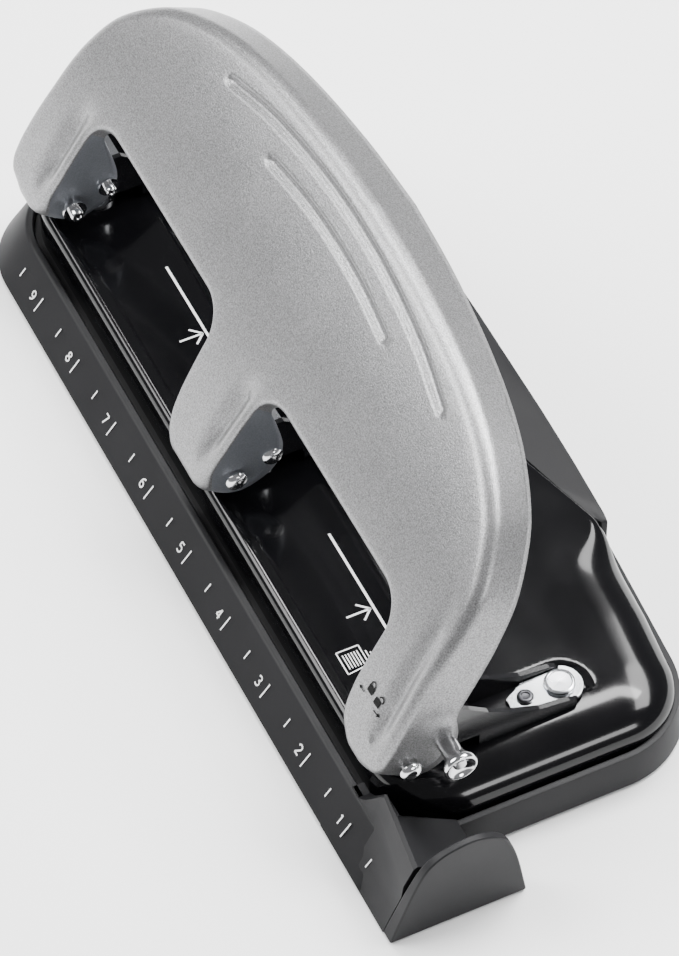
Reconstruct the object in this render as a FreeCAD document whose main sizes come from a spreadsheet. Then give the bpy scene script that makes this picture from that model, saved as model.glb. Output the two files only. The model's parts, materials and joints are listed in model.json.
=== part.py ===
import FreeCAD, Part
import math
import os
import re
import Sketcher
from FreeCAD import Rotation, Vector

# Three-hole paper punch with a wide lever handle, in millimetres.
# X runs along the punch, +Y points to its back and +Z up; it stands on Z = 0.
# The origin is the middle of the bounding box's bottom face.

SIZES = [
    # chip tray
    ("half_width", 131.0, "half the tray's length at its foot"),
    ("tray_depth", 112.0, "front edge to back edge at the foot"),
    ("foot_height", 0.5, "rubber feet below the tray"),
    ("foot_disc", 11.0, "diameter of a rubber foot"),
    ("foot_inset", 22.0, "centre of a foot from the tray's edges"),
    ("rim_height", 12.5, "top of the tray's rim"),
    ("strip_run", 9.4, "how far the ruler strip leans back"),
    ("side_draft", 1.2, "lean of the tray's end and back walls"),
    ("tray_corner", 27.0, "corner radius of the tray in plan"),
    ("tray_floor", 2.0, "floor thickness of the tray"),
    ("tray_wall", 2.4, "wall thickness of the tray at its rim"),
    ("ledge_height", 9.0, "ledge that carries the shell"),
    ("ledge_width", 4.0, "width of that ledge inside the wall"),
    ("shell_gap", 0.5, "shell to anything of the tray beside it"),
    ("deck_run", 15.0, "front edge of the rear deck before the tray's back edge"),
    ("deck_front_half", 26.0, "half length of the deck's front edge"),
    ("deck_back_half", 62.0, "half length of the deck's back edge"),
    ("deck_height", 21.0, "top of the rear deck"),
    # paper stop at the right end
    ("stop_reach", 12.9, "inner face of the paper stop beyond the tray's end"),
    ("stop_thickness", 4.5, "thickness of the paper stop"),
    ("stop_depth", 40.6, "front to back of the paper stop"),
    ("stop_height", 33.0, "top of the paper stop"),
    ("platform_height", 24.3, "paper platform beside the shell"),
    ("skirt_run", 12.0, "length of the raised skirt before the tray's end"),
    # base shell
    ("shell_inset", 4.0, "end wall of the shell inside the tray's foot"),
    ("shell_front", 14.0, "front wall of the shell"),
    ("shell_rear", 5.0, "back wall of the shell before the tray's back edge"),
    ("shell_corner", 24.0, "corner radius of the shell in plan"),
    ("shell_round", 4.0, "rounding of the shell's top edge"),
    ("shell_wall", 2.0, "sheet of the shell"),
    ("bed_height", 22.5, "paper bed, the shell's flat top"),
    # punching heads
    ("head_spacing", 107.95, "hole spacing, 4.25 inch"),
    ("punch_y", 31.0, "punch axis behind the front edge"),
    ("punch_diameter", 7.1, "punch pin, 9/32 inch hole"),
    ("guide_gap", 0.1, "radial fit of the punch in its guides"),
    ("edge_distance", 12.0, "punch axis to the paper's edge"),
    ("throat", 4.4, "clear height for the paper"),
    ("bracket_width", 13.5, "over the two cheeks of a bracket"),
    ("bracket_sheet", 1.5, "steel sheet of the bracket"),
    ("web_sheet", 1.2, "steel sheet of the bracket's webs"),
    ("bracket_front", 14.6, "front end of the bracket"),
    ("bracket_back", 72.0, "back end of the bracket"),
    ("guide_top", 41.9, "top of the upper punch guide"),
    ("guide_sheet", 1.3, "thickness of the upper punch guide"),
    ("die_thickness", 3.0, "die plate under the bed"),
    ("die_half", 8.0, "half width of the die plate"),
    ("die_boss", 12.0, "raised round boss of the die plate"),
    ("chip_hole", 8.6, "hole under the die"),
    ("bolt_y", 70.3, "mounting bolt behind the front edge"),
    ("bolt_head", 8.4, "head diameter of the mounting bolt"),
    ("bolt_head_height", 1.6, "head of the mounting bolt"),
    ("bolt_shank", 4.0, "shank of the mounting bolt"),
    ("screw_y", 60.0, "small mounting screw"),
    ("screw_head", 4.4, "head diameter of the small screw"),
    ("screw_head_height", 1.2, "head of the small screw"),
    ("screw_shank", 2.5, "shank of the small screw"),
    ("tongue_sheet", 1.2, "mounting tongue"),
    ("hole_fit", 0.2, "fastener hole over its shank"),
    ("nut_height", 3.0, "nut of a mounting bolt"),
    # handle
    ("handle_tilt", 58.5, "face of the raised handle above level, degrees"),
    ("handle_y", 6.5, "a point of the face plane"),
    ("handle_z", 28.0, "the same point's height"),
    ("outer_reach", 13.45, "end of the handle beyond the outer head"),
    ("handle_bottom", 3.0, "lower end of the lobes, up the slope"),
    ("side_top", 36.0, "top of the straight sides, up the slope"),
    ("corner_arc", 64.0, "radius of the shoulders"),
    ("crest", 102.6, "top of the arch, up the slope"),
    ("face_arch", 208.0, "radius of the face's curve in profile"),
    ("bulge", 3.0, "how far the curve stands before the plane at its middle"),
    ("bulge_up", 35.4, "middle of the curve, up the slope"),
    ("flange_depth", 15.0, "depth of the rim behind the face"),
    ("sheet", 1.5, "steel sheet of the handle"),
    ("face_round", 5.0, "bend between face and rim"),
    ("lobe_corner", 7.0, "corner radius at the foot of a lobe"),
    ("lip_depth", 3.4, "turned-in lip at the foot of a lobe"),
    ("window_top", 46.5, "upper edge of the windows"),
    ("window_corner", 11.0, "corner radius of the windows"),
    ("middle_lobe", 13.5, "half width of the middle lobe over its ears"),
    ("outer_lobe", 12.0, "half width of an outer lobe over its ears"),
    ("ear_depth", 18.5, "depth of an ear behind the face"),
    ("ear_bottom", 4.4, "lower end of an ear, up the slope"),
    # pins and lever geometry, in the handle's own plane
    ("pivot_up", 11.2, "pivot, up the slope"),
    ("pivot_back", 8.2, "pivot, behind the face"),
    ("drive_up", 21.3, "drive pin, up the slope"),
    ("drive_back", 14.6, "drive pin, behind the face"),
    ("press_angle", 36.0, "full stroke of the handle, degrees"),
    ("pivot_diameter", 4.0, "pivot pin"),
    ("drive_diameter", 3.2, "drive pin"),
    ("pin_fit", 0.05, "radial running fit of a pin"),
    ("slot_fit", 0.4, "drive pin to its slot, each side"),
    ("rivet_head", 6.4, "domed rivet head"),
    ("dome_height", 2.1, "domed rivet head, from the ear"),
    ("head_gap", 0.05, "rivet head to the ear"),
    ("punch_top", 5.2, "punch above its guide, beyond the drive pin's diameter"),
    ("spring_wire", 0.8, "return spring wire"),
    ("spring_radius", 3.4, "mean radius of the return spring"),
    # lock
    ("lock_travel", 3.2, "travel of the lock knob"),
    ("knob_stem", 5.6, "stem of the lock knob"),
    ("stem_inside", 2.9, "stem inside the flange, pulled out"),
    ("knob_flare", 9.6, "flared end of the lock knob"),
    ("knob_length", 10.5, "lock knob from the flange to its end"),
]

doc = FreeCAD.newDocument("hole_punch")
dims = doc.addObject("Spreadsheet::Sheet", "Dims")
for row, (alias, value, note) in enumerate(SIZES, 1):
    dims.set(f"A{row}", alias)
    dims.set(f"B{row}", str(value))
    dims.set(f"C{row}", note)
    dims.setAlias(f"B{row}", alias)
doc.recompute()
ALIASES = [entry[0] for entry in SIZES]
# Sizes that follow from others.
DERIVED = {
    "shell_half": "(half_width - shell_inset)",
    "shell_back": "(tray_depth - shell_rear)",
    "deck_front": "(tray_depth - deck_run)",
    "stop_face": "(half_width + stop_reach)",
    "skirt_start": "(half_width - skirt_run)",
    "handle_half": "(head_spacing + outer_reach)",
}
PARTS = []


def size(alias):
    """A driving size, as a number."""
    return float(dims.get(alias))


def formula(text):
    """An expression over the sheet's aliases, with the derived sizes written out."""
    text = re.sub(r"[a-z_]+[a-z]", lambda m: DERIVED.get(m.group(), m.group()), text)
    return re.sub(r"[a-z_]+[a-z]", lambda m: "Dims." + m.group() if m.group() in ALIASES else m.group(), text)


# Places that several pieces share, as expressions over the sheet.
ORIGIN_X = "(-(stop_face + stop_thickness - half_width) / 2)"
ORIGIN_Y = "(-tray_depth / 2)"
COS = "cos(handle_tilt * 1 deg)"
SIN = "sin(handle_tilt * 1 deg)"
PIVOT_Y = f"(handle_y + pivot_up * {COS} + pivot_back * {SIN})"
PIVOT_Z = f"(handle_z + pivot_up * {SIN} - pivot_back * {COS})"
DRIVE_Y = f"(handle_y + drive_up * {COS} + drive_back * {SIN})"
DRIVE_Z = f"(handle_z + drive_up * {SIN} - drive_back * {COS})"
WEB_BOTTOM = "(bed_height + throat)"
WEB_TOP = "(bed_height + throat + web_sheet)"
STOP_Y = "(punch_y + edge_distance)"
CHEEK_INSIDE = "(bracket_width / 2 - bracket_sheet)"

tilt = math.radians(size("handle_tilt"))
face_point = Vector(0, size("handle_y"), size("handle_z"))
origin = Vector(-(size("stop_reach") + size("stop_thickness")) / 2, -size("tray_depth") / 2, 0)
handle_half = size("head_spacing") + size("outer_reach")
arm_y = (size("drive_up") - size("pivot_up")) * math.cos(tilt)
arm_y += (size("drive_back") - size("pivot_back")) * math.sin(tilt)
arm_z = (size("drive_up") - size("pivot_up")) * math.sin(tilt)
arm_z -= (size("drive_back") - size("pivot_back")) * math.cos(tilt)
press = math.radians(size("press_angle"))
# How far the drive pin drops over the full stroke.
stroke = arm_z * (1 - math.cos(press)) + arm_y * math.sin(press)
HEADS = {"left": "-head_spacing", "middle": "0", "right": "head_spacing"}


# --- helpers -------------------------------------------------------------------------

def make_body(label, x="0", y="0", z="0"):
    """A body of the document, placed from the punch's own corner."""
    body = doc.addObject("PartDesign::Body", label)
    body.Label = label
    body.setExpression("Placement.Base.x", formula(f"{ORIGIN_X} + {x}"))
    body.setExpression("Placement.Base.y", formula(f"{ORIGIN_Y} + {y}"))
    body.setExpression("Placement.Base.z", formula(z))
    PARTS.append(body)
    return body


def new_sketch(body, role, offset="0"):
    """A sketch on one of the body's origin planes, moved along its normal."""
    plane = [item for item in body.Origin.OriginFeatures if item.Role == role][0]
    sketch = body.newObject("Sketcher::SketchObject", body.Name + "_sketch")
    sketch.AttachmentSupport = [(plane, "")]
    sketch.MapMode = "FlatFace"
    sketch.setExpression("AttachmentOffset.Base.z", formula(offset))
    return sketch


def bind_point(sketch, geometry, end, start, target):
    """Ties a sketch point to two expressions."""
    for kind, first, text in (("DistanceX", start[0], target[0]), ("DistanceY", start[1], target[1])):
        index = sketch.addConstraint(Sketcher.Constraint(kind, -1, 1, geometry, end, first))
        sketch.setExpression(f"Constraints[{index}]", formula(text))


def add_polygon(sketch, points):
    """A closed outline of straight lines through points given as expressions."""
    count = len(points)
    base = sketch.GeometryCount
    turn = 2 * math.pi / count
    start = [(10 * math.cos(turn * i + 0.3), 10 * math.sin(turn * i + 0.3)) for i in range(count)]
    for i in range(count):
        near = Vector(*start[i], 0)
        far = Vector(*start[(i + 1) % count], 0)
        sketch.addGeometry(Part.LineSegment(near, far))
    for i in range(count):
        sketch.addConstraint(Sketcher.Constraint("Coincident", base + i, 2, base + (i + 1) % count, 1))
    for i in range(count):
        bind_point(sketch, base + i, 1, start[i], points[i])


def add_rectangle(sketch, left, front, right, back):
    add_polygon(sketch, [(left, front), (right, front), (right, back), (left, back)])


def add_rounded(sketch, left, front, right, back, radius):
    """A rectangle with round corners: four lines joined by four arcs."""
    base = sketch.GeometryCount
    points = [
        (f"({left}) + {radius}", front), (f"({right}) - {radius}", front),
        (right, f"({front}) + {radius}"), (right, f"({back}) - {radius}"),
        (f"({right}) - {radius}", back), (f"({left}) + {radius}", back),
        (left, f"({back}) - {radius}"), (left, f"({front}) + {radius}"),
    ]
    # The solver starts from a tray-sized outline, so that no arc turns inside out.
    start = [(-103, 8), (103, 8), (127, 32), (127, 84), (103, 108), (-103, 108), (-127, 84), (-127, 32)]
    centres = [(103, 32), (103, 84), (-103, 84), (-103, 32)]
    for corner, centre in enumerate(centres):
        near, far = start[2 * corner], start[2 * corner + 1]
        sketch.addGeometry(Part.LineSegment(Vector(*near, 0), Vector(*far, 0)))
        circle = Part.Circle(Vector(*centre, 0), Vector(0, 0, 1), 24)
        turn = math.pi / 2 * (corner - 1)
        sketch.addGeometry(Part.ArcOfCircle(circle, turn, turn + math.pi / 2))
    for i in range(8):
        sketch.addConstraint(Sketcher.Constraint("Coincident", base + i, 2, base + (i + 1) % 8, 1))
    for i in range(0, 8, 2):
        bind_point(sketch, base + i, 1, start[i], points[i])
        bind_point(sketch, base + i, 2, start[i + 1], points[i + 1])
        index = sketch.addConstraint(Sketcher.Constraint("Radius", base + i + 1, 24))
        sketch.setExpression(f"Constraints[{index}]", formula(radius))


def add_circle(sketch, x, y, diameter):
    index = sketch.addGeometry(Part.Circle(Vector(1, 1, 0), Vector(0, 0, 1), 5))
    bind_point(sketch, index, 3, (1, 1), (x, y))
    radius = sketch.addConstraint(Sketcher.Constraint("Radius", index, 5))
    sketch.setExpression(f"Constraints[{radius}]", formula(f"({diameter}) / 2"))


def pad(body, sketch, length, both_ways=False, reverse=False):
    feature = body.newObject("PartDesign::Pad", body.Name + "_pad")
    feature.Profile = sketch
    feature.Midplane = both_ways
    feature.Reversed = reverse
    feature.setExpression("Length", formula(length))
    return feature


def pocket(body, sketch, length=None, both_ways=False, reverse=False):
    """Cuts a sketch into the body; no length cuts right through both ways."""
    doc.recompute()
    before = body.Shape.Volume
    feature = body.newObject("PartDesign::Pocket", body.Name + "_pocket")
    feature.Profile = sketch
    feature.Midplane = both_ways
    feature.Reversed = reverse
    if length is None:
        feature.Type = "ThroughAll"
        feature.Midplane = True
    else:
        feature.setExpression("Length", formula(length))
    doc.recompute()
    if body.Shape.Volume >= before - 1e-3:
        raise RuntimeError(f"{feature.Name} cuts nothing")
    return feature


def edges_where(shape, test):
    return [f"Edge{i}" for i, edge in enumerate(shape.Edges, 1) if test(edge)]


def round_edges(body, radius, test, kind="PartDesign::Fillet"):
    """Fillets or chamfers the edges of the body's tip that pass a test."""
    doc.recompute()
    tip = body.Tip
    names = edges_where(tip.Shape, test)
    if not names:
        raise RuntimeError(f"no edges to round on {body.Label}")
    feature = body.newObject(kind, body.Name + "_round")
    feature.Base = (tip, names)
    feature.setExpression("Radius" if kind.endswith("Fillet") else "Size", formula(radius))
    doc.recompute()
    return feature


def direction(edge):
    start, end = edge.Vertexes[0].Point, edge.Vertexes[-1].Point
    length = (end - start).Length
    return (end - start) / length if length > 1e-6 else Vector()


def at_height(z, near=0.01):
    """Edges that lie wholly at a height."""
    return lambda edge: max(abs(v.Z - z) for v in edge.Vertexes) < near


def turned(label, profile, x, y, z, axis="X"):
    """A turned piece: a closed profile of (along, radius) points about X or Z."""
    body = make_body(label, x, y, z)
    if axis == "X":
        sketch = new_sketch(body, "XY_Plane")
        add_polygon(sketch, profile)
        name = "H_Axis"
    else:
        sketch = new_sketch(body, "XZ_Plane")
        add_polygon(sketch, [(radius, along) for along, radius in profile])
        name = "V_Axis"
    feature = body.newObject("PartDesign::Revolution", body.Name + "_turn")
    feature.Profile = sketch
    feature.ReferenceAxis = (sketch, [name])
    feature.Angle = 360
    return body


def fixed_shape(label, shape):
    """A piece whose shape Part's own functions make, placed like a body."""
    feature = doc.addObject("Part::Feature", label)
    feature.Label = label
    feature.Shape = shape
    PARTS.append(feature)
    return feature


# --- chip tray -----------------------------------------------------------------------

def make_chip_tray():
    body = make_body("chip_tray")
    foot = new_sketch(body, "XY_Plane", "foot_height")
    add_rounded(foot, "-half_width", "0", "half_width", "tray_depth", "tray_corner")
    rim = new_sketch(body, "XY_Plane", "rim_height")
    edge = "(half_width - side_draft)"
    add_rounded(rim, f"-{edge}", "strip_run", edge, "tray_depth - side_draft", "tray_corner")
    loft = body.newObject("PartDesign::AdditiveLoft", "chip_tray_walls")
    loft.Profile = foot
    loft.Sections = [rim]
    loft.Ruled = True
    # Upper well for the shell, then the chip space below the ledge.
    well = new_sketch(body, "XY_Plane", "rim_height")
    edge = "(half_width - side_draft - tray_wall)"
    add_rounded(well, f"-{edge}", "strip_run + tray_wall", edge, "tray_depth - side_draft - tray_wall",
                "(tray_corner - tray_wall)")
    pocket(body, well, "rim_height - ledge_height")
    chips = new_sketch(body, "XY_Plane", "ledge_height")
    edge = "(half_width - side_draft - tray_wall - ledge_width)"
    add_rounded(chips, f"-{edge}", "strip_run + tray_wall + ledge_width + 2", edge,
                "tray_depth - side_draft - tray_wall - ledge_width", "(tray_corner - tray_wall - ledge_width)")
    pocket(body, chips, "ledge_height - foot_height - tray_floor")
    # The ruler strip runs straight on to the paper stop.
    strip = new_sketch(body, "YZ_Plane", "half_width - tray_corner")
    add_polygon(strip, [
        ("0", "foot_height"),
        ("strip_run + tray_wall", "foot_height"),
        ("strip_run + tray_wall", "rim_height"),
        ("strip_run", "rim_height"),
    ])
    pad(body, strip, "stop_face - half_width + tray_corner + 0.01")
    # Rear deck: a raised bridge with slanted ends.
    deck = new_sketch(body, "XY_Plane", "foot_height")
    add_polygon(deck, [
        ("-deck_front_half", "deck_front"),
        ("deck_front_half", "deck_front"),
        ("deck_back_half", "tray_depth - side_draft - tray_wall"),
        ("deck_back_half", "tray_depth - side_draft - 0.2"),
        ("-deck_back_half", "tray_depth - side_draft - 0.2"),
        ("-deck_back_half", "tray_depth - side_draft - tray_wall"),
    ])
    pad(body, deck, "deck_height - foot_height")
    # Paper platform and its ramp at the right end, then the skirt before the shell.
    platform = new_sketch(body, "YZ_Plane", "shell_half + shell_gap")
    ramp = [
        ("0", "foot_height"),
        ("stop_depth", "foot_height"),
        ("stop_depth", "platform_height - 0.6"),
        ("shell_front", "platform_height"),
        ("strip_run + 1.6", "platform_height - 2"),
        ("strip_run", "rim_height"),
    ]
    add_polygon(platform, ramp)
    pad(body, platform, "stop_face - shell_half - shell_gap + 0.01")
    skirt = new_sketch(body, "YZ_Plane", "skirt_start")
    add_polygon(skirt, [
        ("strip_run - 1", "rim_height - 2"),
        ("shell_front - shell_gap", "rim_height - 2"),
        ("shell_front - shell_gap", "platform_height"),
        ("strip_run + 1.6", "platform_height - 2"),
        ("strip_run", "rim_height"),
    ])
    pad(body, skirt, "shell_half + shell_gap - skirt_start + 0.01")
    # Paper stop: a rounded upright tab.
    stop = new_sketch(body, "YZ_Plane", "stop_face")
    add_polygon(stop, [
        ("0", "foot_height"),
        ("stop_depth", "foot_height"),
        ("stop_depth - 3.2", "stop_height * 0.55"),
        ("stop_depth - 6.2", "stop_height - 5.5"),
        ("stop_depth - 12", "stop_height - 1"),
        ("stop_depth * 0.5", "stop_height"),
        ("stop_depth * 0.35", "stop_height - 2.2"),
        ("stop_depth * 0.24", "stop_height - 6.8"),
        ("stop_depth * 0.16", "stop_height - 14.7"),
    ])
    pad(body, stop, "stop_thickness")
    return body


def make_rubber_feet():
    body = make_body("rubber_feet")
    sketch = new_sketch(body, "XY_Plane")
    for x in ("-(half_width - foot_inset)", "0", "half_width - foot_inset"):
        for y in ("foot_inset", "tray_depth - foot_inset"):
            add_circle(sketch, x, y, "foot_disc")
    pad(body, sketch, "foot_height")
    return body


# --- base shell and punching heads ---------------------------------------------------

def make_base_shell():
    body = make_body("base_shell")
    outside = new_sketch(body, "XY_Plane", "ledge_height")
    add_rounded(outside, "-shell_half", "shell_front", "shell_half", "shell_back", "shell_corner")
    pad(body, outside, "bed_height - ledge_height")
    round_edges(body, "shell_round", at_height(size("bed_height")))
    inside = new_sketch(body, "XY_Plane", "bed_height - shell_wall")
    edge = "(shell_half - shell_wall)"
    add_rounded(inside, f"-{edge}", "shell_front + shell_wall", edge, "shell_back - shell_wall",
                "(shell_corner - shell_wall)")
    pocket(body, inside, "bed_height - shell_wall - ledge_height + 1")
    # Notch for the tray's rear deck.
    notch = new_sketch(body, "XY_Plane")
    add_polygon(notch, [
        ("-(deck_front_half + shell_gap)", "deck_front - shell_gap"),
        ("deck_front_half + shell_gap", "deck_front - shell_gap"),
        ("deck_back_half + 3", "shell_back + 1"),
        ("-(deck_back_half + 3)", "shell_back + 1"),
    ])
    pocket(body, notch)
    # Die openings and the holes of the mounting bolts and screws.
    holes = new_sketch(body, "XY_Plane")
    for x in HEADS.values():
        add_circle(holes, x, "punch_y", "die_boss + 0.4")
        add_circle(holes, x, "bolt_y", "bolt_shank + hole_fit")
        add_circle(holes, x, "screw_y", "screw_shank + hole_fit")
    pocket(body, holes)
    return body


def make_bracket(side, x):
    """A U of sheet steel: two cheeks, a web over the throat and a rear web."""
    body = make_body(f"punch_bracket_{side}", x)
    outline = new_sketch(body, "YZ_Plane")
    add_polygon(outline, [
        ("bracket_front", WEB_BOTTOM),
        (STOP_Y, WEB_BOTTOM),
        (STOP_Y, "bed_height"),
        ("bracket_back", "bed_height"),
        ("bracket_back", "bed_height + web_sheet + tongue_sheet + 0.3"),
        ("bracket_back - 2", "bed_height + 3.6"),
        ("bracket_back - 11", "bed_height + 5"),
        ("bracket_back - 20", "bed_height + 9"),
        (f"{STOP_Y} + 2.5", "guide_top - 6.5"),
        (f"{STOP_Y} - 3", "guide_top - 2.2"),
        (f"{STOP_Y} - 6", "guide_top"),
        (f"{PIVOT_Y} + 5.5", "guide_top"),
        (f"{PIVOT_Y} + 4.5", f"{PIVOT_Z} + 5.2"),
        (f"{PIVOT_Y} - 1.5", f"{PIVOT_Z} + 5.2"),
        ("bracket_front", f"{PIVOT_Z} + 2.5"),
    ])
    pad(body, outline, "bracket_width", both_ways=True)
    channel = new_sketch(body, "YZ_Plane")
    add_polygon(channel, [
        ("bracket_front - 1", WEB_TOP),
        (f"{STOP_Y} + web_sheet", WEB_TOP),
        (f"{STOP_Y} + web_sheet", "bed_height + web_sheet"),
        ("bracket_back + 1", "bed_height + web_sheet"),
        ("bracket_back + 1", "guide_top + 1"),
        ("bracket_front - 1", "guide_top + 1"),
    ])
    pocket(body, channel, f"{CHEEK_INSIDE} * 2", both_ways=True)
    # Bores for the pivot, the slots for the drive pin and the holes of the webs.
    cross = new_sketch(body, "YZ_Plane")
    add_circle(cross, PIVOT_Y, PIVOT_Z, "pivot_diameter + pin_fit * 2")
    reach = "(drive_diameter / 2 + slot_fit)"
    right = f"{PIVOT_Y} + sqrt({ARM_SQUARED})"
    add_rectangle(cross, f"{DRIVE_Y} - {reach} - 0.2", f"{WEB_TOP} + 0.15", f"{right} + {reach}",
                  f"{DRIVE_Z} + {reach}")
    pocket(body, cross)
    down = new_sketch(body, "XY_Plane")
    add_circle(down, "0", "punch_y", "punch_diameter + guide_gap * 2")
    add_circle(down, "0", "bolt_y", "bolt_shank + hole_fit")
    add_circle(down, "0", "screw_y", "screw_shank + hole_fit")
    pocket(body, down)
    if side == "right":
        # Round enlargements that let the lock's stem in at both ends of the slot.
        keyholes = new_sketch(body, "YZ_Plane", "bracket_width / 2 + 1")
        add_circle(keyholes, DRIVE_Y, DRIVE_Z, "knob_stem + 0.6")
        pocket(body, keyholes, "bracket_sheet + 2")
        keyholes = new_sketch(body, "YZ_Plane", "bracket_width / 2 + 1")
        add_circle(keyholes, f"{PIVOT_Y} + {PRESSED_Y}", f"{PIVOT_Z} + {PRESSED_Z}", "knob_stem + 0.6")
        pocket(body, keyholes, "bracket_sheet + 2")
    return body


def make_guide_plate(side, x):
    """Upper guide of a punch, let in between the cheeks of its bracket."""
    body = make_body(f"guide_plate_{side}", x)
    sketch = new_sketch(body, "XY_Plane", "guide_top - guide_sheet")
    half = CHEEK_INSIDE
    add_rectangle(sketch, f"-{half}", f"{PIVOT_Y} + 6", half, f"{STOP_Y} - 6.2")
    add_circle(sketch, "0", "punch_y", "punch_diameter + guide_gap * 2")
    pad(body, sketch, "guide_sheet")
    return body


def make_die_plate(side, x):
    body = make_body(f"die_plate_{side}", x)
    plate = new_sketch(body, "XY_Plane", "bed_height - shell_wall")
    add_rectangle(plate, "-die_half", "punch_y - die_half", "die_half", "punch_y + die_half + 2")
    pad(body, plate, "die_thickness", reverse=True)
    boss = new_sketch(body, "XY_Plane", "bed_height - shell_wall - 0.01")
    add_circle(boss, "0", "punch_y", "die_boss")
    pad(body, boss, "shell_wall + 0.01")
    hole = new_sketch(body, "XY_Plane")
    add_circle(hole, "0", "punch_y", "punch_diameter + guide_gap * 2")
    pocket(body, hole)
    relief = new_sketch(body, "XY_Plane", "bed_height - shell_wall - die_thickness")
    add_circle(relief, "0", "punch_y", "chip_hole")
    pocket(body, relief, "die_thickness - 0.5", reverse=True)
    return body


def make_tongue(side, x):
    """Bright steel tongue in the bracket's channel, rounded behind it."""
    body = make_body(f"mounting_tongue_{side}", x)
    sketch = new_sketch(body, "XY_Plane", "bed_height + web_sheet")
    half = f"({CHEEK_INSIDE} - 0.2)"
    add_polygon(sketch, [
        (f"-{half}", "bolt_y"),
        (f"-{half}", "screw_y + 1"),
        ("-1.8", "screw_y - 5"),
        ("1.8", "screw_y - 5"),
        (half, "screw_y + 1"),
        (half, "bolt_y"),
        (f"{half}", "bolt_y + 3"),
        (f"{half} - 2.2", "bolt_y + 6"),
        (f"-({half} - 2.2)", "bolt_y + 6"),
        (f"-{half}", "bolt_y + 3"),
    ])
    pad(body, sketch, "tongue_sheet")
    holes = new_sketch(body, "XY_Plane")
    add_circle(holes, "0", "bolt_y", "bolt_shank + hole_fit")
    add_circle(holes, "0", "screw_y", "screw_shank + hole_fit")
    pocket(body, holes)
    return body


def make_fasteners(label, y, head, shank, head_height, top, length):
    """Three alike headed fasteners, one to a head, as separate solids."""
    body = make_body(label, "0", y, top)
    rim = new_sketch(body, "XY_Plane")
    for x in HEADS.values():
        add_circle(rim, x, "0", head)
    pad(body, rim, head_height)
    stem = new_sketch(body, "XY_Plane")
    for x in HEADS.values():
        add_circle(stem, x, "0", shank)
    pad(body, stem, length, reverse=True)
    return body


def make_nuts():
    """Nuts of the mounting bolts, under the shell."""
    body = make_body("mounting_nuts", "0", "bolt_y", "bed_height - shell_wall - nut_height")
    sketch = new_sketch(body, "XY_Plane")
    flat = "(bolt_shank * 0.9)"
    for x in HEADS.values():
        corner = []
        for step in range(6):
            angle = f"{60 * step} deg"
            corner.append((f"{x} + {flat} * cos({angle})", f"{flat} * sin({angle})"))
        add_polygon(sketch, corner)
    pad(body, sketch, "nut_height")
    holes = new_sketch(body, "XY_Plane")
    for x in HEADS.values():
        add_circle(holes, x, "0", "bolt_shank + 0.04")
    pocket(body, holes)
    return body


def make_punch_pin(side, x):
    """Hardened punch with a cross slot for the drive pin and a hollow-ground tip."""
    body = make_body(f"punch_pin_{side}", x, "punch_y")
    radius = "(punch_diameter / 2)"
    top = "(guide_top + drive_diameter + punch_top)"
    sketch = new_sketch(body, "XY_Plane", f"{WEB_BOTTOM} + 0.4")
    add_circle(sketch, "0", "0", "punch_diameter")
    pad(body, sketch, f"{top} - {WEB_BOTTOM} - 0.4")
    doc.recompute()
    slot = new_sketch(body, "YZ_Plane")
    reach = "(drive_diameter / 2 + slot_fit)"
    add_rectangle(slot, f"{DRIVE_Y} - punch_y - drive_diameter / 2 - 0.25", f"{DRIVE_Z} - {reach}",
                  f"{PIVOT_Y} + sqrt({ARM_SQUARED}) - punch_y + drive_diameter / 2 + 0.25",
                  f"{DRIVE_Z} + {reach}")
    pocket(body, slot)
    tip = new_sketch(body, "YZ_Plane")
    add_polygon(tip, [
        (f"-{radius} - 1", f"{WEB_BOTTOM} + 0.3"),
        (f"{radius} + 1", f"{WEB_BOTTOM} + 0.3"),
        ("0", f"{WEB_BOTTOM} + 1.3"),
    ])
    pocket(body, tip)
    round_edges(body, "0.6", at_height(size("guide_top") + size("drive_diameter") + size("punch_top")),
                "PartDesign::Chamfer")
    return body


# --- handle --------------------------------------------------------------------------

def handle_outline(inset):
    """The arched outline with square-ended sides, moved in by inset; local u, v."""
    half = handle_half - inset
    low = size("handle_bottom") + inset
    side = size("side_top")
    shoulder = size("corner_arc") - inset
    apex = size("crest") - inset
    foot = size("lobe_corner") - inset
    reach = half - shoulder
    rise = apex - side
    arch = (reach ** 2 + rise ** 2 - shoulder ** 2) / (2 * (rise - shoulder))
    centre_v = apex - arch
    lean = math.atan2(reach, side - centre_v)
    join = Vector(arch * math.sin(lean), centre_v + arch * math.cos(lean), 0)
    half_turn = math.atan2(join.y - side, join.x - reach) / 2
    on_shoulder = Vector(reach + shoulder * math.cos(half_turn), side + shoulder * math.sin(half_turn), 0)
    foot_mid = Vector(half - foot + foot * math.cos(math.pi / 4), low + foot - foot * math.sin(math.pi / 4), 0)

    def mirror(point):
        return Vector(-point.x, point.y, 0)

    right_foot = (Vector(half - foot, low, 0), foot_mid, Vector(half, low + foot, 0))
    shoulder_start = Vector(half, side, 0)
    edges = [
        Part.LineSegment(mirror(right_foot[0]), right_foot[0]),
        Part.Arc(*right_foot),
        Part.LineSegment(right_foot[2], shoulder_start),
        Part.Arc(shoulder_start, on_shoulder, join),
        Part.Arc(join, Vector(0, apex, 0), mirror(join)),
        Part.Arc(mirror(join), mirror(on_shoulder), mirror(shoulder_start)),
        Part.LineSegment(mirror(shoulder_start), mirror(right_foot[2])),
        Part.Arc(mirror(right_foot[2]), mirror(foot_mid), mirror(right_foot[0])),
    ]
    return Part.Wire([edge.toShape() for edge in edges])


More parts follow.
